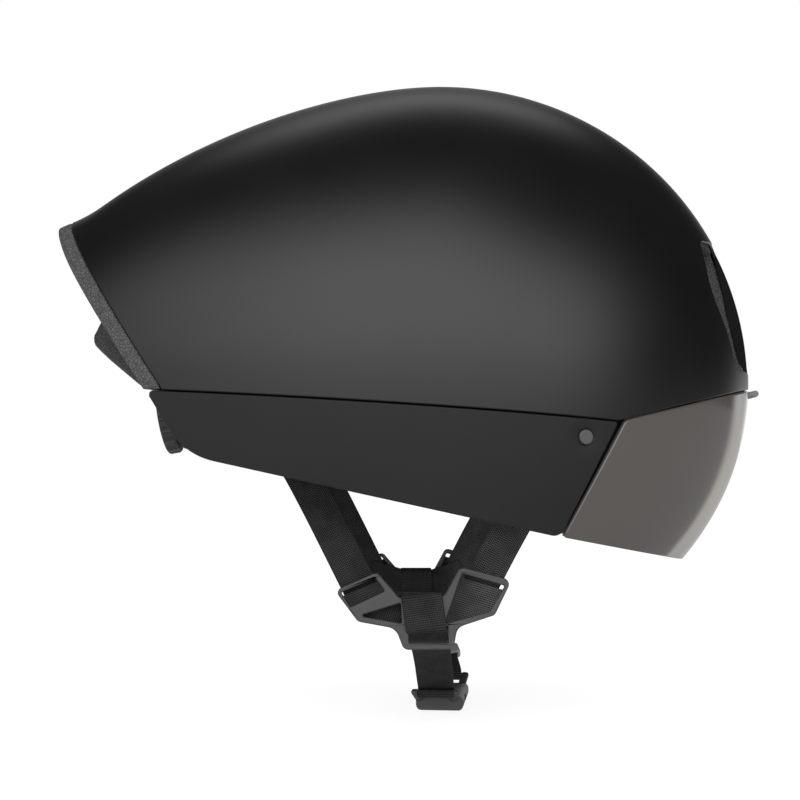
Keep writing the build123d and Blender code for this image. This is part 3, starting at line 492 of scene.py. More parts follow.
def foamFinish(name, shade):
    # Expanded beads: pale grey cells with darker joints between them.
    made = Finish(name, (shade, shade, shade), 0.75)
    jitter = made.noise(520, 2)
    edge = made.cells(beads["scale"], "Distance", "DISTANCE_TO_EDGE")
    joint = edge.ramp(0.02, 0.2)
    tone = made.node("ShaderNodeRGBToBW", {}, {0: made.cells(beads["scale"], "Color")})
    dark, low, high = ((shade * part, shade * part, shade * part * 1.02) for part in (0.4, 0.72, 1.45))
    grey = made.mixed(tone, low, high)
    made.feed("Base Color", made.mixed(joint * (0.55 + 0.45 * jitter), dark, grey))
    made.feed("Roughness", 0.6 + 0.25 * tone)
    made.bump(joint, beads["depth"])
    return made.material


def mouldedFinish(name, low, high, roughness, **constants):
    # Injection-moulded nylon with a fine spark grain.
    made = Finish(name, low, roughness, **constants)
    haze = made.noise(160, 3)
    made.feed("Base Color", made.mixed(haze, low, high))
    made.feed("Roughness", roughness + 0.1 * haze)
    made.bump(made.noise(plasticGrain["scale"], 2), plasticGrain["depth"])
    return made.material


def lensFinish():
    # Dark brown lens under a thin mirror coating, smooth enough to give a soft image.
    made = Finish("mirroredLens", (0.064, 0.059, 0.054), 0.2, IOR=1.6)
    haze = made.noise(45, 2)
    made.feed("Base Color", made.mixed(haze, (0.061, 0.0555, 0.051), (0.066, 0.0605, 0.056)))
    made.feed("Roughness", 0.1 + 0.04 * haze)
    return made.material


def webbingFinish():
    # Woven strap: cords along it cross the ribs, each row of stitches shifted by half a rib.
    made = Finish("blackWebbing", (0.02, 0.02, 0.0205), 0.8, Specular_IOR_Level=0.15)
    weave = made.node("ShaderNodeAttribute", {"attribute_name": "weave"}, {}, "Vector")
    along, across = made.axes(weave)[:2]
    ribs = along / webbing["rib"]
    row = across / webbing["cord"]
    count = row.math("FLOOR", row)
    shift = count.math("MODULO", count, 2) * 0.5
    stitch = abs(((ribs + shift) * np.pi).wave())
    cord = abs((row * np.pi).wave())
    rib = abs((ribs * np.pi).wave())
    height = 0.45 * rib + 0.55 * stitch * cord
    worn = made.noise(150, 2).ramp(0.35, 0.65)
    # Painted light: paler webbing ahead, darker behind, by the place along X.
    fresh = made.axes(made.place)[0].ramp(*webbing["fresh"])
    dark = made.mixed(worn, (0.03, 0.03, 0.031), (0.042, 0.042, 0.043))
    pale = made.mixed(worn, (0.075, 0.075, 0.076), (0.1, 0.1, 0.101))
    bright = made.mixed(fresh, dark, pale)
    # The colour goes near black where the weave is low: painted shade in its hollows.
    made.feed("Base Color", made.mixed(height.ramp(0.2, 0.9), (0.0015, 0.0015, 0.0016), bright))
    made.feed("Roughness", 0.85 - 0.3 * height)
    made.bump(height, 0.00016)
    return made.material


def metalFinish():
    made = Finish("blackNickelPlate", (0.04, 0.04, 0.041), 0.45, Metallic=1.0)
    made.feed("Roughness", 0.4 + 0.16 * made.noise(700, 3))
    return made.material


finishes = {
    "shell": shellFinish(),
    "side_panel": panelFinish(),
    # The liner's foam is the tail strip's foam painted darker as shade, for the blocks seen in the vents and
    # at the lip.
    "liner_foam": foamFinish("shadeDarkenedBeadFoam", 0.05),
    "lens": lensFinish(),
    "tab": mouldedFinish("greySoftTab", (0.12, 0.128, 0.124), (0.15, 0.158, 0.154), 0.5),
    "stud": mouldedFinish("studCap", (0.045, 0.045, 0.047), (0.06, 0.06, 0.062), 0.42),
    "magnet": metalFinish(),
    "pad": mouldedFinish("padKnit", (0.015, 0.015, 0.016), (0.03, 0.03, 0.031), 0.9),
    "nylon": mouldedFinish("blackNylon", (0.018, 0.018, 0.019), (0.026, 0.026, 0.027), 0.5),
    "dial": mouldedFinish("dialNylon", (0.02, 0.02, 0.021), (0.03, 0.03, 0.031), 0.45),
    "webbing": webbingFinish(),
    "strap_hardware": mouldedFinish("greyNylon", (0.036, 0.036, 0.037), (0.048, 0.048, 0.049), 0.42),
    "keeper": mouldedFinish("greyRubber", (0.25, 0.25, 0.25), (0.3, 0.3, 0.3), 0.6),
}
# Dark finish for walls deep in the vents and gaps: the shell's black without its gloss, as painted shade.
ventWall = mouldedFinish(
    "ventWall", (0.006, 0.006, 0.0062), (0.009, 0.009, 0.0093), 0.9, Specular_IOR_Level=0.1
)
# The tail strip keeps the foam's own paler tone.
stripFoam = foamFinish("paleBeadFoam", 0.076)
slotOfNode = {row["node"]: row["material_slot"] for row in frame["record"]["subparts"]}
for name, node in frame["nodes"].items():
    node.data.materials.clear()
    node.data.materials.append(finishes[slotOfNode[name]])

# Lines in side view along which the moulded skins are cut
cuts = {
    "splitRear": (-0.1155, -0.0068),
    "splitFront": (0.0566, -0.0189),
    "browEnd": (0.124, -0.0018),
    "tailTop": (-0.162, 0.071),
    "tailFoot": (-0.1138, 0.0),
    "edgeRadius": 0.0005,
}
splitField = lineField(cuts["splitRear"], cuts["splitFront"])
browField = lineField(cuts["splitFront"], cuts["browEnd"])
tailField = lineField(cuts["tailTop"], cuts["tailFoot"])

tailShape = {"startX": -0.145, "rise": 14.5, "slant": 0.3, "lowZ": 0.04, "highZ": 0.066}


def straightened(points):
    # Carries the last of the tail up along its cut, by the square of the distance past a level,
    # so that the crown runs out straighter than the level rings do.
    shape = tailShape
    past = np.maximum(shape["startX"] - points[:, 0], 0) ** 2 * shape["rise"]
    share = np.clip((points[:, 2] - shape["lowZ"]) / (shape["highZ"] - shape["lowZ"]), 0, 1)
    move = past * share**2 * (3 - 2 * share)
    return points + move[:, None] * np.array([-shape["slant"], 0, 1])


# Shell: one skin over the crown, with two vents and a cut-off tail
print("making the shell")
shellShape = {
    "wall": 0.0015,
    "edgeRadius": 0.0005,
    "ventCorners": (
        (0.0132, 0.0038),
        (0.0475, 0.0038),
        (0.0578, 0.033),
        (0.0487, 0.0535),
        (0.0132, 0.058),
    ),
    "ventRadii": (0.006, 0.006, 0.022, 0.008, 0.006),
    "ventSteps": 14,
    "ventFrontX": 0.04,
    # Turns in degrees: a fine step within the fine turn of straight ahead, a coarse one beyond it
    "fineTurn": 32,
    "fineStep": 0.6,
    "coarseStep": 1.4,
    # Rows: the lowest, the highest, and the count above the even top
    "rows": (-0.022, helmet["crownHeight"], 46),
}
ventOutline = roundedOutline(shellShape["ventCorners"], shellShape["ventRadii"], shellShape["ventSteps"])
ventInside = outlineField(ventOutline, frontView)


def ventField(points):
    # Positive outside the vents.
    return np.where(points[:, 0] > shellShape["ventFrontX"], -ventInside(points), 1)


def shellTurns():
    shape = shellShape
    fine, step = shape["fineTurn"], shape["coarseStep"]
    front = np.radians(np.arange(-fine, fine, shape["fineStep"]))
    rest = np.radians(np.arange(fine, 360 - fine + step, step))
    return np.concatenate((front, rest[:-1], [np.radians(360 - fine)]))


points, faces = helmetPatch(shellTurns(), rowHeights(*shellShape["rows"]))
points, faces = cutTo(points, faces, (splitField, browField, tailField, ventField), shellShape["edgeRadius"])
skin = walled(points, faces, helmetNormal(points), shellShape["wall"], shellShape["edgeRadius"])
shell = addPiece("shellSkin", straightened(skin[0]), skin[1], finishes["shell"], skin[2])
seat(shell, "root", "shell", "outer_shell")
print("shell has", len(skin[1]), "triangles")

# Side panels, with a shallow dish round the magnet stud
print("making the side panels")
panelShape = {
    "wall": 0.0015,
    "edgeRadius": 0.0005,
    "gap": 0.0005,
    "toe": (0.0354, -0.0609),
    "heel": (-0.1003, -0.0311),
    "toeRadius": 0.004,
    "heelRadius": 0.027,
    "stud": (0.0442, -0.025),
    "studHoleRadius": 0.00285,
    "dishRadius": 0.0075,
    "dishDepth": 0.0007,
    # Grid of points: first, last and count
    "turns": (188, 303, 190),
    "heights": (-0.0625, -0.006, 52),
}


def sideTurn(x, z):
    # Turn of the helmet's near surface at a place in side view.
    return 2 * np.pi - np.arccos((x - helmet["widestX"]) / ringSizes(z)[0])


def panelOutline():
    shape = panelShape
    (rearX, rearZ), (frontX, frontZ) = cuts["splitRear"], cuts["splitFront"]
    corners = (
        (rearX, rearZ - shape["gap"]),
        (frontX, frontZ - shape["gap"]),
        shape["toe"],
        shape["heel"],
    )
    return roundedOutline(corners, (0, 0, shape["toeRadius"], shape["heelRadius"]), 16)


def rightPanel():
    shape = panelShape
    studX, studZ = shape["stud"]
    stud = helmetPoint(sideTurn(studX, studZ), np.array(studZ))
    axis = helmetNormal(stud)
    inOutline = outlineField(panelOutline(), sideView)

    def fromStud(points):
        offset = points - stud
        return offset - np.sum(offset * axis, -1, keepdims=True) * axis

    def holeField(points):
        return np.linalg.norm(fromStud(points), axis=-1) - shape["studHoleRadius"]

    points, faces = evenPatch(shape["turns"], shape["heights"])
    points, faces = cutTo(points, faces, (inOutline, holeField), shape["edgeRadius"])
    normals = helmetNormal(points)
    # The dish is a parabola of revolution about the stud's axis, faded at its rim.
    away = fromStud(points)
    share = np.linalg.norm(away, axis=1, keepdims=True) / shape["dishRadius"]
    bowl = np.clip(1 - share**2, 0, 1)
    tilt = -4 * shape["dishDepth"] * bowl * share / shape["dishRadius"]
    points = points - shape["dishDepth"] * bowl**2 * normals
    normals = unit(normals + tilt * away / np.maximum(share * shape["dishRadius"], 1e-6))
    return walled(points, faces, normals, shape["wall"], shape["edgeRadius"])


skin = rightPanel()
seatPair("PanelSkin", skin, finishes["side_panel"], "side_panel", "_side_panel")
print("each panel has", len(skin[1]), "triangles")

# Visor lens, wrapped from side to side, with an arch over the nose
print("making the visor lens")
lensShape = {
    "wall": 0.0022,
    "edgeRadius": 0.0007,
    "gap": 0.0009,
    "topGap": 0.0005,
    "topX": 0.0592,
    "toe": (0.096, -0.073),
    "heelRadius": 0.001,
    "archHalfWidth": 0.022,
    "archRise": 0.009,
    "farX": 0.16,
    "turns": (-73, 73, 230),
    "heights": (-0.0785, 0.001, 66),
}


def lensOutline():
    shape = lensShape
    (frontX, frontZ), (browX, browZ) = cuts["splitFront"], cuts["browEnd"]
    browRise = (browZ - frontZ) / (browX - frontX)
    toeX, toeZ = shape["toe"]
    panelX, panelZ = panelShape["toe"]
    fall = (toeZ - panelZ) / (toeX - panelX)
    heelX = panelX + shape["gap"]
    farX = shape["farX"]
    corners = (
        (shape["topX"], frontZ + browRise * (shape["topX"] - frontX) - shape["topGap"]),
        (farX, frontZ + browRise * (farX - frontX) - shape["topGap"]),
        (farX, panelZ + fall * (farX - heelX)),
        (heelX, panelZ),
    )
    return roundedOutline(corners, (0, 0, 0, shape["heelRadius"]))


def lensPatch():
    shape = lensShape
    inOutline = outlineField(lensOutline(), sideView)
    archZ = shape["toe"][1]

    def archField(points):
        # Distance outside the ellipse over the nose, to first order.
        y, z = points[:, 1] / shape["archHalfWidth"], (points[:, 2] - archZ) / shape["archRise"]
        level = np.hypot(y, z)
        steep = np.hypot(y / shape["archHalfWidth"], z / shape["archRise"]) / np.maximum(level, 1e-6)
        return (level - 1) / np.maximum(steep, 1e-6)

    points, faces = evenPatch(shape["turns"], shape["heights"])
    points, faces = cutTo(points, faces, (inOutline, archField), shape["edgeRadius"])
    return walled(points, faces, helmetNormal(points), shape["wall"], shape["edgeRadius"])


skin = lensPatch()
visor = addPiece("visorLensSkin", skin[0], skin[1], finishes["lens"], skin[2])
seat(visor, "visor", "lens", "visor_lens")
print("lens has", len(skin[1]), "triangles")


def resampled(path, spacing):
    # Points at an even spacing along a polyline.
    steps = np.linalg.norm(np.diff(path, axis=0), axis=1)
    along = np.concatenate(([0], np.cumsum(steps)))
    count = max(int(round(along[-1] / spacing)), 2)
    places = np.linspace(0, along[-1], count + 1)
    return np.stack([np.interp(places, along, path[:, axis]) for axis in range(3)], -1)


def splined(points, steps=12):
    # Catmull-Rom curve through the inner points: the first and last only set its directions.
    points = np.array(points, float)
    share = np.linspace(0, 1, steps, endpoint=False)[:, None]
    spans = []
    for a, b, c, d in zip(points, points[1:], points[2:], points[3:]):
        square = a - 2.5 * b + 2 * c - d / 2
        cube = 3 * b - 3 * c + d - a
        spans.append(b + share * (c - a) / 2 + share**2 * square + share**3 * cube / 2)
    return np.concatenate(spans + [points[-2:-1]])


def ribbon(path, across, width):
    # Flat strap along a path. Its section has half-round edges, and the two ends are closed.
    # The attribute "weave" holds the distance along the strap and the place across it.
    middle = resampled(path, webbing["spacing"])
    tangent = unit(np.gradient(middle, axis=0))
    if len(across) != len(middle):
        share = np.linspace(0, 1, len(middle))[:, None]
        across = across[0] + share * (across[-1] - across[0])
    across = unit(across - np.sum(across * tangent, 1, keepdims=True) * tangent)
    facing = np.cross(tangent, across)
    half, edge = width / 2, webbing["thickness"] / 2
    bend = np.radians(np.linspace(-webbing["edgeBend"], webbing["edgeBend"], webbing["edgePoints"]))
    flat = np.linspace(-1, 1, webbing["flatPoints"]) * (half - edge)
    bow = half - edge + edge * np.cos(bend)
    side = np.concatenate((flat, bow, flat[::-1], -bow))
    none, full = np.zeros(len(flat)), np.ones(len(flat))
    lean = np.concatenate((none, np.cos(bend), none, -np.cos(bend)))
    lift = np.concatenate((full, -np.sin(bend), -full, np.sin(bend)))
    rise = edge * lift
    rows, columns = len(middle), len(side)
    points = middle[:, None] + side[:, None] * across[:, None] + rise[:, None] * facing[:, None]
    normals = lean[:, None] * across[:, None] + lift[:, None] * facing[:, None]
    along = np.arange(rows) * np.linalg.norm(middle[1] - middle[0])
    weave = np.stack(np.broadcast_arrays(along[:, None], side[None], 0 * side[None]), -1)
    corner = (np.arange(rows - 1)[:, None] * columns + np.arange(columns)).ravel()
    beside = (np.arange(rows - 1)[:, None] * columns + (np.arange(columns) + 1) % columns).ravel()
    faces = np.concatenate(
        (
            np.stack((corner, beside, beside + columns), -1),
            np.stack((corner, beside + columns, corner + columns), -1),
        )
    )
    total = rows * columns
    ring = np.arange(columns)
    after = (ring + 1) % columns
    first = np.stack((np.full(columns, total), after, ring), -1)
    last = np.stack((np.full(columns, total + 1), ring + total - columns, after + total - columns), -1)
    points = np.concatenate((points.reshape(-1, 3), middle[:1], middle[-1:]))
    normals = np.concatenate((normals.reshape(-1, 3), -tangent[:1], tangent[-1:]))
    weave = np.concatenate((weave.reshape(-1, 3), [[0, 0, 0], [along[-1], 0, 0]]))
    return points, np.concatenate((faces, first, last)), normals, weave


def outwardFaces(points, faces, normals):
    # Turns each face so that it agrees with the normals of its corners.
    a, b, c = (points[faces[:, k]] for k in range(3))
    wrong = np.sum(np.cross(b - a, c - a) * normals[faces].sum(1), 1) < 0
    faces = faces.copy()
    faces[wrong] = faces[wrong][:, ::-1]
    return faces


def joined(parts):
    # One surface from several: each part's faces count on from the points of those before it.
    columns = list(zip(*parts))
    starts = np.cumsum([0] + [len(points) for points in columns[0]])
    columns[1] = [faces + start for faces, start in zip(columns[1], starts)]
    return [np.concatenate(column) for column in columns]


def addStraps(name, strips, body, *nodes):
    # One piece from one or more ribbons.
    points, faces, normals, weave = joined(strips)
    made = addPiece(name, points, outwardFaces(points, faces, normals), finishes["webbing"], normals)
    layer = made.data.attributes.new("weave", "FLOAT_VECTOR", "POINT")
    layer.data.foreach_set("vector", weave.astype(np.float32).ravel())
    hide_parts(*nodes)
    if body:
        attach(made, body)
    return made


def plateMesh(outlines, thickness, bevel, steps=4):
    # Flat plate round z = 0 inside the first outline and outside the others. Each edge is a
    # quarter circle: inset bevel * (1 - sin t) at height half - bevel * (1 - cos t).
    flat = np.concatenate(outlines)
    outward, after, start = [], [], 0
    for index, outline in enumerate(outlines):
        run = unit(np.roll(outline, -1, 0) - np.roll(outline, 1, 0))
        x, y = outline.T
        turned = np.sum(x * np.roll(y, -1) - y * np.roll(x, -1)) < 0
        lean = np.stack((run[:, 1], -run[:, 0]), -1) * (-1 if turned != (index > 0) else 1)
        outward.append(lean)
        after.append(start + np.roll(np.arange(len(outline)), -1))
        start += len(outline)
    outward, after = np.concatenate(outward), np.concatenate(after)
    count, half = len(flat), thickness / 2
    bow = np.linspace(0, np.pi / 2, steps)
    inset = np.concatenate((1 - np.sin(bow), 1 - np.sin(bow[::-1]))) * bevel
    height = half - (1 - np.cos(bow)) * bevel
    height = np.concatenate((height, -height[::-1]))
    tilt = np.concatenate((bow, np.pi - bow[::-1]))
    place = flat - inset[:, None, None] * outward
    points = np.concatenate((place, np.broadcast_to(height[:, None, None], (*place.shape[:2], 1))), -1)
    lean = np.sin(tilt)[:, None, None] * outward
    rise = np.broadcast_to(np.cos(tilt)[:, None, None], (*lean.shape[:2], 1))
    normals = np.concatenate((lean, rise), -1)
    loops = [[Vector((*spot, 0)) for spot in outline] for outline in outlines]
    cap = np.array(tessellate_polygon(loops))
    faces = [cap, cap + (len(tilt) - 1) * count]
    ring = np.arange(count)
    for row in range(len(tilt) - 1):
        near, far = row * count, (row + 1) * count
        faces.append(np.stack((ring + near, after + near, after + far), -1))
        faces.append(np.stack((ring + near, after + far, ring + far), -1))
    points, normals = points.reshape(-1, 3), normals.reshape(-1, 3)
    return points, outwardFaces(points, np.concatenate(faces), normals), normals


# Strap dividers: flat plates with rounded edges and windows, in side view.
# A filling is the webbing that shows in a window, with the direction in which it runs.
print("making the dividers")
dividerShape = {
    "outer": (
        (-0.0459, -0.0806, 0.002),
        (-0.0305, -0.0739, 0.0022),
        (-0.0223, -0.0833, 0.0015),
        (-0.0055, -0.0825, 0.002),
        (0.0002, -0.0719, 0.0022),
        (0.0189, -0.0768, 0.0024),
        (0.0127, -0.0896, 0.0026),
        (-0.001, -0.0941, 0.004),
        (-0.0024, -0.1021, 0.0022),
        (-0.0206, -0.1023, 0.0026),
        (-0.0236, -0.0945, 0.005),
        (-0.0374, -0.092, 0.003),
    ),
    "windows": (
        (
            (0.0007, -0.0743, 0.0006),
            (0.0164, -0.0789, 0.0006),
            (0.0109, -0.0883, 0.0012),
            (-0.0058, -0.0929, 0.0006),
        ),
        (
            (-0.0436, -0.0813, 0.0006),
            (-0.0311, -0.0759, 0.0006),
            (-0.0275, -0.0808, 0.0006),
            (-0.0401, -0.0868, 0.0006),
        ),
        (
            (-0.0372, -0.0899, 0.0005),
            (-0.0217, -0.0851, 0.0005),
            (-0.0213, -0.0927, 0.0005),
        ),
        (
            (-0.0191, -0.0934, 0.0005),
            (-0.0046, -0.0934, 0.0005),
            (-0.0042, -0.0998, 0.0005),
            (-0.0187, -0.0999, 0.0005),
        ),
    ),
    "frontFilling": (
        (-0.0005, -0.0757, 0.0004),
        (0.0157, -0.0803, 0.0004),
        (0.0113, -0.0886, 0.0011),
        (-0.0066, -0.0937, 0.0005),
    ),
    "frontWay": (-0.282, -0.959),
    "rearFilling": (
        (-0.0429, -0.0826, 0.0004),
        (-0.03, -0.0771, 0.0004),
        (-0.0271, -0.0809, 0.0005),
        (-0.0399, -0.0872, 0.0005),
    ),
    "rearWay": (0.396, -0.918),
    "front": 0.0814,
    "thickness": 0.0025,
    "bevel": 0.0006,
    "fillingDepth": 0.0006,
    "fillingBevel": 0.0004,
}


def plateOutline(corners, steps=7):
    return roundedOutline([corner[:2] for corner in corners], [corner[2] for corner in corners], steps)


def standing(points, faces, normals, side, middle):
    # Stands a flat plate up at one side of the helmet, its face outwards: z becomes the distance
    # out from the middle plane, and y the height.
    points = np.stack((points[:, 0], side * (middle + points[:, 2]), points[:, 1]), -1)
    normals = np.stack((normals[:, 0], side * normals[:, 2], normals[:, 1]), -1)
    return points, outwardFaces(points, faces, normals), normals


def filling(side, end):
    # Flat web with rounded edges in a window of the divider, a little behind the divider's face.
    shape = dividerShape
    outline, way = plateOutline(shape[end + "Filling"]), shape[end + "Way"]
    points, faces, normals = plateMesh([outline], webbing["thickness"], shape["fillingBevel"])
    middle = shape["front"] - shape["fillingDepth"] - webbing["thickness"] / 2
    along = points[:, 0] * way[0] + points[:, 1] * way[1]
    across = points[:, 0] * way[1] - points[:, 1] * way[0]
    weave = np.stack((along, across, 0 * along), -1)
    return *standing(points, faces, normals, side, middle), weave


# Side straps: each comes down behind the bar of its divider, shows in the window below it and runs to the
# middle
print("making the straps")
strapShape = {
    "depth": 0.078,
    "runDepth": 0.0774,
    "rearTop": (-0.076, -0.0065),
    "rearMiddle": (-0.0562, -0.0412),
    "rearLug": (-0.0368, -0.0795),
    "frontTop": (0.0445, -0.0135),
    "frontMiddle": (0.0195, -0.0568),
    "frontLug": (0.0081, -0.0782),
    "beyond": 0.004,
    "rearRun": ((-0.0365, -0.0838), (-0.0185, -0.0893)),
    "frontRun": ((0.0085, -0.0835), (-0.0075, -0.0893)),
}


def sidePath(line, y):
    # A line in side view, at one distance from the middle plane.
    return np.stack((line[:, 0], np.full(len(line), y), line[:, 1]), -1)


def sideStrap(side, end):
    # Upper run of a strap, which ends behind the bar of its window.
    top, middle, lug = (np.array(strapShape[end + place]) for place in ("Top", "Middle", "Lug"))
    beyond = lug + unit(lug - middle) * strapShape["beyond"]
    line = splined([2 * top - middle, top, middle, lug, beyond, 2 * beyond - lug])
    path = sidePath(line, side * strapShape["depth"])
    return ribbon(path, np.array([[1, 0, 0]]), webbing["sideWidth"])


def lowerRun(side, end):
    # Run behind the divider from a window to the middle loop.
    start, finish = (np.array(place) for place in strapShape[end + "Run"])
    way = unit(finish - start)
    line = start + np.linspace(0, 1, 4)[:, None] * (finish - start)
    path = sidePath(line, side * strapShape["runDepth"])
    return ribbon(path, np.array([[-way[1], 0, way[0]]]), webbing["sideWidth"])


for side, name in ((-1, "right"), (1, "left")):
    for end in ("rear", "front"):
        strips = [sideStrap(side, end), filling(side, end), lowerRun(side, end)]
        addStraps(name + end.title() + "Webbing", strips, "root", name + "_" + end + "_strap")

# Chin straps: a loop round the divider's middle, then down through its slot to the buckle
buckle = {
    "middle": (-0.0044, 0.006, -0.1325),
    "yaw": np.radians(6.0),
    "barOffset": 0.0265,
    "barRise": 0.0055,
    "wrapRadius": 0.00175,
    "wrapStart": np.radians(120),
    "wrapTurn": np.radians(260),
    "wrapPoints": 26,
    "wrapLead": 0.5,
}
acrossBuckle = np.array([np.cos(buckle["yaw"]), -np.sin(buckle["yaw"]), 0])
alongBuckle = np.array([np.sin(buckle["yaw"]), np.cos(buckle["yaw"]), 0])
chinShape = {
    "loopTop": (-0.0142, -0.082),
    "loopEnd": (-0.0138, -0.0945),
    "exit": (-0.0123, -0.0952),
    "bend": (-0.0119, -0.0992),
    "inner": 0.0762,
    "outer": 0.0823,
    "radii": (0.0018, 0.0018, 0.003),
    # The run to the buckle: shares of the way along it and of the way down
    "shares": ((0.33, 0.19), (0.62, 0.48), (0.84, 0.78)),
}


def buckleSpot(across, along, up):
    # Place on the buckle: across it, along it towards the wearer's left, and up.
    way = across * acrossBuckle + along * alongBuckle
    return np.array(buckle["middle"]) + way + np.array([0, 0, up])


def wrapSpot(angle, side):
    # Place on the circle in which the webbing goes round its bar.
    reach = buckle["wrapRadius"]
    along = side * (buckle["barOffset"] + reach * np.cos(angle))
    return buckleSpot(0, along, buckle["barRise"] + reach * np.sin(angle))


def chinStrap(side):
    shape = chinShape
    inner, outer = side * shape["inner"], side * shape["outer"]
    loop = roundedPath(
        (
            (shape["loopEnd"][0], inner, shape["loopEnd"][1]),
            (shape["loopTop"][0], inner, shape["loopTop"][1]),
            (shape["loopTop"][0], outer, shape["loopTop"][1]),
            (shape["exit"][0], outer, shape["exit"][1]),
            (shape["bend"][0], inner, shape["bend"][1]),
        ),
        shape["radii"],
    )
    wrapStart = buckle["wrapStart"]
    start, finish = loop[-1], wrapSpot(wrapStart, side)
    between = [start + (finish - start) * np.array([along, along, down]) for along, down in shape["shares"]]
    run = splined([loop[-2], start, *between, finish, wrapSpot(wrapStart + buckle["wrapLead"], side)])
    turns = wrapStart + np.linspace(0, buckle["wrapTurn"], buckle["wrapPoints"])[1:]
    wrap = np.array([wrapSpot(turn, side) for turn in turns])
    path = np.concatenate((loop, run[1:], wrap))
    return ribbon(path, np.array([[1, 0, 0], acrossBuckle]), webbing["width"])


addStraps("rightChinWebbing", [chinStrap(-1)], "root", "right_chin_strap")
leftChin = addStraps("leftChinWebbing", [chinStrap(1)], None, "left_chin_strap")
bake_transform(leftChin)


def dividerPlate():
    # The plate on the wearer's right, with its windows.
    shape = dividerShape
    outlines = [plateOutline(corners) for corners in (shape["outer"], *shape["windows"])]
    middle = shape["front"] - shape["thickness"] / 2
    return standing(*plateMesh(outlines, shape["thickness"], shape["bevel"]), -1, middle)


seatPair("DividerPlate", dividerPlate(), finishes["strap_hardware"], "strap_hardware", "_strap_divider")
# Hard parts: each is its CAD form with its doubles merged and its sharp edges rounded
print("rounding the hard parts")
rounding = {"flatAngle": 0.4, "sharpAngle": 35, "segments": 2}
bodyOfNode = {}
for body, rows in frame["record"]["behaviour"]["bodies"].items():
    bodyOfNode.update(dict.fromkeys(rows, body))


def vertexRows(piece, kind="co"):
    # The places of a piece's vertices, or their normals where kind is "normal".
    rows = np.empty(len(piece.data.vertices) * 3, np.float32)
    piece.data.vertices.foreach_get(kind, rows)
    return rows.reshape(-1, 3).astype(float)


def moved(piece, points):
    piece.data.vertices.foreach_set("co", points.astype(np.float32).ravel())
    piece.data.update()


def nodeMesh(node):
    # Points and triangles of a CAD node, its doubles merged.
    source = frame["nodes"][node]
    source.data.calc_loop_triangles()
    faces = np.empty(len(source.data.loop_triangles) * 3, np.int32)
    source.data.loop_triangles.foreach_get("vertices", faces)
    return welded(vertexRows(source), faces.reshape(-1, 3).astype(int))


def pieceName(node, ending):
    name = "".join(word.title() for word in node.split("_"))
    return name[0].lower() + name[1:] + ending


def softened(node, width, trim=None, bend=None):
    # Copy of a CAD node with whole flats and a small round on each sharp edge. trim is a plane
    # (a point and a direction) beyond which it is cut away, and bend moves the points.
    points, faces = nodeMesh(node)
    made = addPiece(pieceName(node, "Rounded"), points, faces, finishes[slotOfNode[node]])
    shape = bmesh.new()
    shape.from_mesh(made.data)
    level = np.radians(rounding["flatAngle"])
    bmesh.ops.dissolve_limit(
        shape, angle_limit=level, verts=shape.verts[:], edges=shape.edges[:], delimit={"NORMAL"}
    )
    if trim:
        whole = shape.verts[:] + shape.edges[:] + shape.faces[:]
        cut = bmesh.ops.bisect_plane(
            shape, geom=whole, dist=1e-6, plane_co=trim[0], plane_no=trim[1], clear_outer=True
        )
        rim = [item for item in cut["geom_cut"] if isinstance(item, bmesh.types.BMEdge)]
        bmesh.ops.holes_fill(shape, edges=rim, sides=0)
        bmesh.ops.recalc_face_normals(shape, faces=shape.faces[:])
    shape.to_mesh(made.data)
    shape.free()
    if bend:
        moved(made, bend(vertexRows(made)))
    made.data.polygons.foreach_set("use_smooth", np.full(len(made.data.polygons), True))
    bevel = made.modifiers.new("roundEdges", "BEVEL")
    bevel.limit_method = "ANGLE"
    bevel.angle_limit = np.radians(rounding["sharpAngle"])
    bevel.width = width
    bevel.segments = rounding["segments"]
    bevel.use_clamp_overlap = True
    even = made.modifiers.new("evenNormals", "WEIGHTED_NORMAL")
    even.keep_sharp = True
    return seat(made, bodyOfNode[node], slotOfNode[node], node)


rounds = {
    "strap_keeper": 0.0005,
    "right_visor_stud": 0.00015,
    "left_visor_stud": 0.00015,
    "visor_tab": 0.0004,
    "dial_housing": 0.0004,
    "cradle": 0.0005,
    "left_band_arm": 0.00015,
    "right_band_arm": 0.00015,
    "height_rail": 0.0003,
    "visor_carriers": 0.0003,
}
for node, width in rounds.items():
    softened(node, width)

# Buckle socket: the barrel tapers towards the near bar, which two arms carry
socketShape = {
    "bendStart": 0.002,
    "back": -0.0199,
    "taper": 0.1,
    "shift": 0.001,
    "bar": (-0.0086, 0.0079),
    "barRadius": 0.00105,
    "armRadius": 0.0013,
    "armWidth": 0.0008,
    "armFoot": (0.0187, 0.0014),
    "armLean": 0.0012,
    "tongueEnd": 0.0192,
    "farBar": (-0.009, 0.009),
}


def socketBend(points):
    # Narrows and shifts the barrel across, more towards its back, in a smooth step.
    shape = socketShape
    offset = points - np.array(buckle["middle"])
    across, along = offset @ acrossBuckle, offset @ alongBuckle
    share = np.clip((shape["bendStart"] - along) / (shape["bendStart"] - shape["back"]), 0, 1)
    share = share**2 * (3 - 2 * share)
    move = share * (shape["shift"] - shape["taper"] * across)
    return points + move[:, None] * acrossBuckle


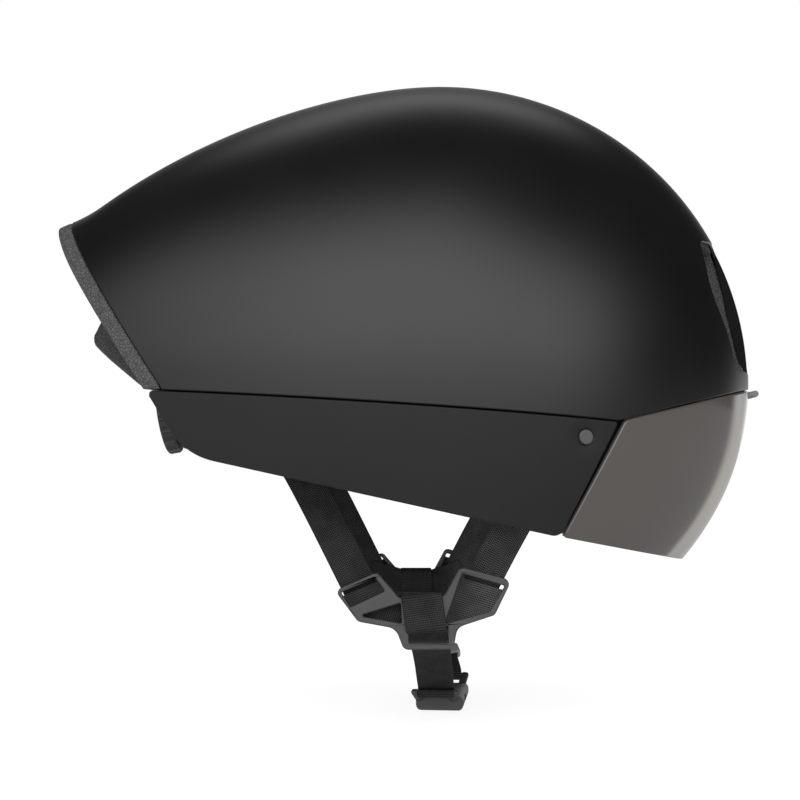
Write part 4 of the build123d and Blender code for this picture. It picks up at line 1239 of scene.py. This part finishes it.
def capsule(start, finish, radius, steps=20, rows=7):
    # Rod with half-round ends: circles of radius sin(t) along a quarter turn at each end.
    start, finish = np.array(start), np.array(finish)
    way = unit(finish - start)
    one = unit(np.cross(way, (0.3, 0.2, 1)))
    two = np.cross(way, one)
    turn = np.linspace(0, 2 * np.pi, steps, endpoint=False)
    ring = np.cos(turn)[:, None] * one + np.sin(turn)[:, None] * two
    bow = np.linspace(0, np.pi / 2, rows)
    near = start - np.cos(bow)[:, None] * radius * way
    far = finish + np.cos(bow[::-1])[:, None] * radius * way
    middles = np.concatenate((near, far))
    reach = np.concatenate((np.sin(bow), np.sin(bow[::-1]))) * radius
    lean = np.concatenate((-np.cos(bow), np.cos(bow[::-1])))
    points = middles[:, None] + reach[:, None, None] * ring
    normals = lean[:, None, None] * way + np.sin(np.arccos(np.abs(lean)))[:, None, None] * ring
    columns = np.concatenate((np.arange(steps), [0]))
    index = (np.arange(len(middles))[:, None] * steps + columns).ravel()
    faces = index[gridFaces(len(middles), steps + 1)]
    points, normals = points.reshape(-1, 3), normals.reshape(-1, 3)
    return points, outwardFaces(points, faces, normals), normals


def buckleBar(name, side, ends, body):
    # Round bar and the two arms that carry it from one end of the buckle: side is -1 or 1.
    shape = socketShape
    offset, rise = side * buckle["barOffset"], buckle["barRise"]
    parts = [capsule(*(buckleSpot(across, offset, rise) for across in ends), shape["barRadius"])]
    footAlong, footUp = side * shape["armFoot"][0], shape["armFoot"][1]
    for across in ends:
        for shift in (-shape["armWidth"] / 2, 0, shape["armWidth"] / 2):
            top = buckleSpot(across + shift, offset, rise)
            foot = buckleSpot(across + shift - np.sign(across) * shape["armLean"], footAlong, footUp)
            parts.append(capsule(top, foot, shape["armRadius"]))
    points, faces, normals = joined(parts)
    seat(addPiece(name, points, faces, finishes["strap_hardware"], normals), body, "strap_hardware")


socketCut = (buckleSpot(0, socketShape["back"], 0), -alongBuckle)
softened("buckle_socket", 0.0009, socketCut, socketBend)
softened("buckle_tongue", 0.0007, (buckleSpot(0, socketShape["tongueEnd"], 0), alongBuckle))
buckleBar("buckleNearBar", -1, socketShape["bar"], "root")
buckleBar("buckleFarBar", 1, socketShape["farBar"], "tongue")

# Foam: each block is its CAD form remeshed, so that its edges are soft as moulded beads are
print("remeshing the foam")
foamShape = {
    "voxel": {"crown_liner": 0.002, "right_cheek_foam": 0.0013, "left_cheek_foam": 0.0013},
    "smoothing": 2,
    "lipMove": (-0.0013, 0, -0.0004),
    # The move fades in over a length from each of these.
    "lipX": (-0.128, 0.012),
    "lipZ": (0.034, 0.008),
}


def applied(piece):
    # The same object with its modifiers worked into its mesh.
    bpy.context.view_layer.update()
    holder = piece.evaluated_get(bpy.context.evaluated_depsgraph_get())
    mesh = bpy.data.meshes.new_from_object(holder)
    piece.modifiers.clear()
    piece.data = mesh
    return piece


def remeshed(piece, voxel, smoothing):
    remesh = piece.modifiers.new("evenCells", "REMESH")
    remesh.mode = "VOXEL"
    remesh.voxel_size = voxel
    remesh.use_smooth_shade = True
    smooth = piece.modifiers.new("softEdges", "SMOOTH")
    smooth.factor = 0.5
    smooth.iterations = smoothing
    return applied(piece)


def fullLip(points):
    # Gives the lip under the tail back what the remeshing rounds off.
    (edgeX, fadeX), (edgeZ, fadeZ) = foamShape["lipX"], foamShape["lipZ"]
    back = np.clip((edgeX - points[:, 0]) / fadeX, 0, 1)
    low = np.clip((edgeZ - points[:, 2]) / fadeZ, 0, 1)
    return points + (back * low)[:, None] * np.array(foamShape["lipMove"])


for node, voxel in foamShape["voxel"].items():
    block = addPiece(pieceName(node, "Block"), *nodeMesh(node), finishes["liner_foam"])
    remeshed(block, voxel, foamShape["smoothing"])
    moved(block, fullLip(vertexRows(block)))
    seat(block, bodyOfNode[node], "liner_foam", node)
    print(node, "has", 2 * len(block.data.polygons), "triangles")

# Tail strip: the foam that shows behind the shell's cut edge, flush with the shell
print("making the tail strip")
stripShape = {
    "reach": 0.0063,
    "spread": 0.012,
    "gap": 0.0002,
    "wall": 0.009,
    "edgeRadius": 0.0011,
    "edgeSteps": 6,
    "turns": (112, 248, 260),
    "rows": (-0.012, 0.093, 34),
}


def tailStrip():
    shape = stripShape
    points, faces = helmetPatch(np.radians(np.linspace(*shape["turns"])), rowHeights(*shape["rows"]))
    fields = (
        splitField,
        lambda spots: -tailField(spots) - shape["gap"],
        lambda spots: tailField(spots) + shape["reach"] + shape["spread"] * spots[:, 2],
    )
    points, faces = cutTo(points, faces, fields, shape["edgeRadius"])
    normals = helmetNormal(points)
    return walled(points, faces, normals, shape["wall"], shape["edgeRadius"], shape["edgeSteps"])


skin = tailStrip()
strip = addPiece("tailFoamStrip", straightened(skin[0]), skin[1], stripFoam, skin[2])
seat(strip, "root", "liner_foam")

# Bridge between the vents: the shell turns in along each side of it, deepest halfway up
bridgeShape = {
    "side": 0.0137,
    "thickness": 0.0007,
    "heights": (0.0045, 0.0575),
    "depths": (0.0024, 0.0042, 0.0047, 0.0032, 0.0008),
    "rows": 60,
    # Shares of the depth at which the columns of points lie: first, last and count
    "columns": (0.03, 1, 8),
}


def bridgeSide():
    # Points at a share of the depth below the helmet's surface, on the plane of the vent's edge.
    shape = bridgeShape
    rows, share = shape["rows"], np.linspace(*shape["columns"])
    heights = np.linspace(*shape["heights"], rows)
    guess = helmetPoint(np.zeros(rows), heights) + np.array([0, -shape["side"], 0])
    front = settled(guess, [helmetLevel, lambda spots: spots[:, 1] + shape["side"]])
    normals = helmetNormal(front)
    normals[:, 1] = 0
    depth = np.interp(heights, np.linspace(*shape["heights"], len(shape["depths"])), shape["depths"])
    points = front[:, None] - (share[:, None] * depth[:, None, None]) * unit(normals)[:, None]
    near = points.reshape(-1, 3)
    far = near + np.array([0, shape["thickness"], 0])
    points, total = np.concatenate((near, far)), len(near)
    normals = np.repeat([[0, -1, 0], [0, 1, 0]], total, 0).astype(float)
    faces = gridFaces(rows, len(share))
    sides = outwardFaces(points, np.concatenate((faces, faces + total)), normals)
    grid = np.arange(total).reshape(rows, len(share))
    edge = np.concatenate((grid[0, :-1], grid[:-1, -1], grid[-1, :0:-1], grid[:0:-1, 0]))
    after = np.roll(edge, -1)
    lower = np.stack((edge, after, after + total), -1)
    upper = np.stack((edge, after + total, edge + total), -1)
    return points, np.concatenate((sides, lower, upper))


# The bridge's sides take the dark wall finish, not the shell's: painted shade inside the vents.
seatPair("BridgeSide", bridgeSide(), ventWall, "shell", flat=True)

# Dark linings inside two gaps, as painted shade, which keep light out of them: one between
# panel and visor, one under the rear of the shell
liningShape = {
    "depth": 0.0035,
    "wall": 0.0008,
    "x": 0.0586,
    "slope": 0.505,
    "reach": 0.0036,
    "heights": (-0.057, -0.0155),
    "grid": (26, 8),
    "rearTurns": (234, 264, 70),
    "rearHeights": (-0.0125, -0.0015, 12),
    "rearEnds": (-0.106, -0.066),
}


def lined(points, faces):
    # The patch, carried inwards by the depth and given a thin wall.
    shape = liningShape
    normals = helmetNormal(points)
    points = points - shape["depth"] * normals
    return walled(points, faces, normals, shape["wall"], shape["wall"] / 3, 2)


def visorGapLining():
    # Rows across the gap. The middle of each row is on the slanted line of the gap.
    shape = liningShape
    rows, columns = shape["grid"]
    heights = np.linspace(*shape["heights"], rows)[:, None]
    middle = shape["x"] + shape["slope"] * (heights - shape["heights"][1])
    across = middle + shape["reach"] * np.linspace(-1, 1, columns)
    heights = heights + 0 * across
    points = helmetPoint(sideTurn(across, heights).ravel(), heights.ravel())
    return lined(points, outwardFaces(points, gridFaces(rows, columns), helmetNormal(points)))


def rearGapLining():
    # The helmet's own surface between two upright planes.
    shape = liningShape
    rear, front = shape["rearEnds"]
    ends = (lambda spots: spots[:, 0] - rear, lambda spots: front - spots[:, 0])
    return lined(*cutTo(*evenPatch(shape["rearTurns"], shape["rearHeights"]), ends))


seatPair("VisorGapLining", visorGapLining(), ventWall, "shell")
seatPair("RearGapLining", rearGapLining(), ventWall, "shell")

# Comfort pads: each starts as its CAD form, a little smaller, and is blown up as cloth
print("stuffing the pads")
padShape = {
    "voxel": 0.0026,
    "smoothing": 2,
    "inset": 0.0007,
    "frames": 20,
    "swell": 0.0016,
    "levels": 1,
}
padCloth = {
    "use_pressure": True,
    "uniform_pressure_force": 4.0,
    "mass": 0.3,
    "tension_stiffness": 15,
    "compression_stiffness": 15,
    "bending_stiffness": 0.5,
}
padNodes = ("brow_pad", "right_temple_pad", "left_temple_pad", "right_crown_pad", "left_crown_pad")


def blown(piece):
    # Cloth under pressure for a few frames. No point moves further than the swell.
    start = vertexRows(piece)
    cloth = piece.modifiers.new("stuffing", "CLOTH")
    for name, value in padCloth.items():
        setattr(cloth.settings, name, value)
    cloth.settings.effector_weights.gravity = 0
    cloth.point_cache.frame_start = 1
    cloth.point_cache.frame_end = padShape["frames"]
    for step in range(1, padShape["frames"] + 1):
        scene.frame_set(step)
    applied(piece)
    scene.frame_set(1)
    offset = vertexRows(piece) - start
    size = np.linalg.norm(offset, axis=1, keepdims=True)
    moved(piece, start + offset * np.minimum(1, padShape["swell"] / np.maximum(size, 1e-9)))


def stuffedPad(node):
    made = addPiece(pieceName(node, "Stuffed"), *nodeMesh(node), finishes["pad"])
    remeshed(made, padShape["voxel"], padShape["smoothing"])
    moved(made, vertexRows(made) - padShape["inset"] * vertexRows(made, "normal"))
    blown(made)
    curves = made.modifiers.new("evenCurves", "SUBSURF")
    curves.levels = curves.render_levels = padShape["levels"]
    applied(made)
    seat(made, bodyOfNode[node], "pad", node)
    return made


for node in padNodes:
    pad = stuffedPad(node)
    print(node, "has", 2 * len(pad.data.polygons), "triangles")

# Camera at the photo's place, floor and soft light
print("setting the studio")
view = {
    "place": (-0.022, -0.56, -0.0449),
    "focalShare": 1310 / 800,
    "sensor": 36,
    "horizonShare": 93 / 800,
    "clip": (0.01, 50),
}
lens = bpy.data.cameras.new("photoLens")
lens.sensor_width = view["sensor"]
lens.lens = view["focalShare"] * view["sensor"]
lens.shift_y = view["horizonShare"]
lens.clip_start, lens.clip_end = view["clip"]
camera = bpy.data.objects.new("photoCamera", lens)
camera.location = view["place"]
camera.rotation_euler = (np.pi / 2, 0, 0)
scene.collection.objects.link(camera)
scene.camera = camera
scene.view_settings.view_transform = "Standard"

studio = {
    "floorZ": -0.1365,
    "floorSize": 40.0,
    "paper": (0.9, 0.9, 0.9),
    "paperShare": 0.8,
    "paperGlow": 1.12,
    "paperMirror": 0.3,
    "bandMirror": 1.5,
    "bandTint": (1.02, 0.98, 0.92),
    "bandPlace": 0.12,
    "bandStart": (0.53, 0.68),
    "bandFade": (0.58, 0.98, 1, 0.22),
    "bandTop": (0.02, 0.16),
    "roomLight": 0.9,
    "roomMirror": 0.022,
    "boxMirror": 2.45,
    "boxHeights": (-0.35, 0.2, 0.62, 0.96),
    "boxLean": (0.3, 0.15),
    "boxSides": (-1.4, -0.3, 0.6, 0.95),
    "boxBack": (-0.4, 0.1),
    "rimEdge": (0.78, 0.99),
    "stripHeight": (0.6, 0.85),
    "stripEdge": (0.33, 0.5),
    "stripSides": (0.25, 0.5),
}


def litBand(share):
    # Paper that is lit to both sides behind the object, and less straight behind it. share is
    # how far a direction points that way.
    return share.ramp(*studio["bandStart"]) * share.ramp(*studio["bandFade"])


def roomWorld():
    # The camera sees white, and an even pale room lights the object. What the object mirrors is
    # a broad softbox on the near side, a strip above, lit paper behind it and a dark room elsewhere.
    world = bpy.data.worlds.new("paleRoom")
    world.use_nodes = True
    room = Graph(world.node_tree)
    path = world.node_tree.nodes.new("ShaderNodeLightPath")
    camera, glossy, through = (
        Wire(room, path.outputs[name]) for name in ("Is Camera Ray", "Is Glossy Ray", "Is Transmission Ray")
    )
    x, y, z = room.axes(room.node("ShaderNodeTexCoord", {}, {}, "Generated"))
    low, full, high, gone = studio["boxHeights"]
    bothSides, oneSide = studio["boxLean"]
    box = z.ramp(low, full) * (z + bothSides * abs(x) + oneSide * x).ramp(high, gone, 1, 0)
    rear, rearFull, frontFull, front = studio["boxSides"]
    box = box * x.ramp(rear, rearFull) * x.ramp(frontFull, front, 1, 0) * y.ramp(*studio["boxBack"], 1, 0)
    strip = z.ramp(*studio["stripHeight"]) * y.ramp(*studio["stripEdge"])
    strip = strip * abs(x).ramp(*studio["stripSides"], 1, 0)
    mirror = studio["roomMirror"] + studio["boxMirror"] * box + y.ramp(*studio["rimEdge"]) + strip
    mirror = mirror + studio["bandMirror"] * litBand(y) * z.ramp(*studio["bandTop"], 1, 0)
    lit = room.between(glossy, studio["roomLight"], mirror)
    seen = room.between(through, room.between(camera, lit, 1), 1)
    ground = world.node_tree.nodes["Background"]
    room.join(ground.inputs["Color"], (1, 1, 1))
    room.join(ground.inputs["Strength"], seen)
    scene.world = world


def areaLight(name, place, target, size, power):
    lamp = bpy.data.lights.new(name, "AREA")
    lamp.shape = "RECTANGLE"
    lamp.size, lamp.size_y = size
    lamp.energy = power
    made = bpy.data.objects.new(name, lamp)
    made.location = place
    made.rotation_euler = (Vector(target) - Vector(place)).to_track_quat("-Z", "Y").to_euler()
    made.visible_glossy = False
    scene.collection.objects.link(made)


def floorSheet():
    # White paper that keeps a soft part of the shadow, and looks darker in a reflection
    # except behind the object, where a band of it is lit.
    half = studio["floorSize"] / 2
    corners = np.array([(-half, -half), (half, -half), (half, half), (-half, half)])
    points = np.concatenate((corners, np.full((4, 1), studio["floorZ"])), 1)
    paper = Finish("palePaper", studio["paper"], 0.9, Specular_IOR_Level=0.0)
    path = paper.tree.nodes.new("ShaderNodeLightPath")
    glossy = Wire(paper, path.outputs["Is Glossy Ray"])
    x, y = paper.axes(paper.place)[:2]
    x = x - studio["bandPlace"]
    band = litBand(y / x.math("SQRT", x * x + y * y))
    bandColour = tuple(studio["bandMirror"] * part for part in studio["bandTint"])
    mirror = paper.mixed(band, (studio["paperMirror"],) * 3, bandColour)
    colour = paper.mixed(glossy, (studio["paperGlow"],) * 3, mirror)
    glow = paper.node("ShaderNodeEmission", {}, {"Color": colour})
    shader = Wire(paper, paper.shader.outputs[0])
    blend = paper.node("ShaderNodeMixShader", {}, {0: studio["paperShare"], 1: shader, 2: glow})
    paper.join(paper.tree.nodes["Material Output"].inputs["Surface"], blend)
    made = addPiece("floorSheet", points, np.array([(0, 1, 2), (0, 2, 3)]), paper.material)


roomWorld()
floorSheet()
areaLight("upperSoftbox", (-0.02, -1.15, 0.95), (-0.02, 0, 0.03), (1.3, 0.7), 16)
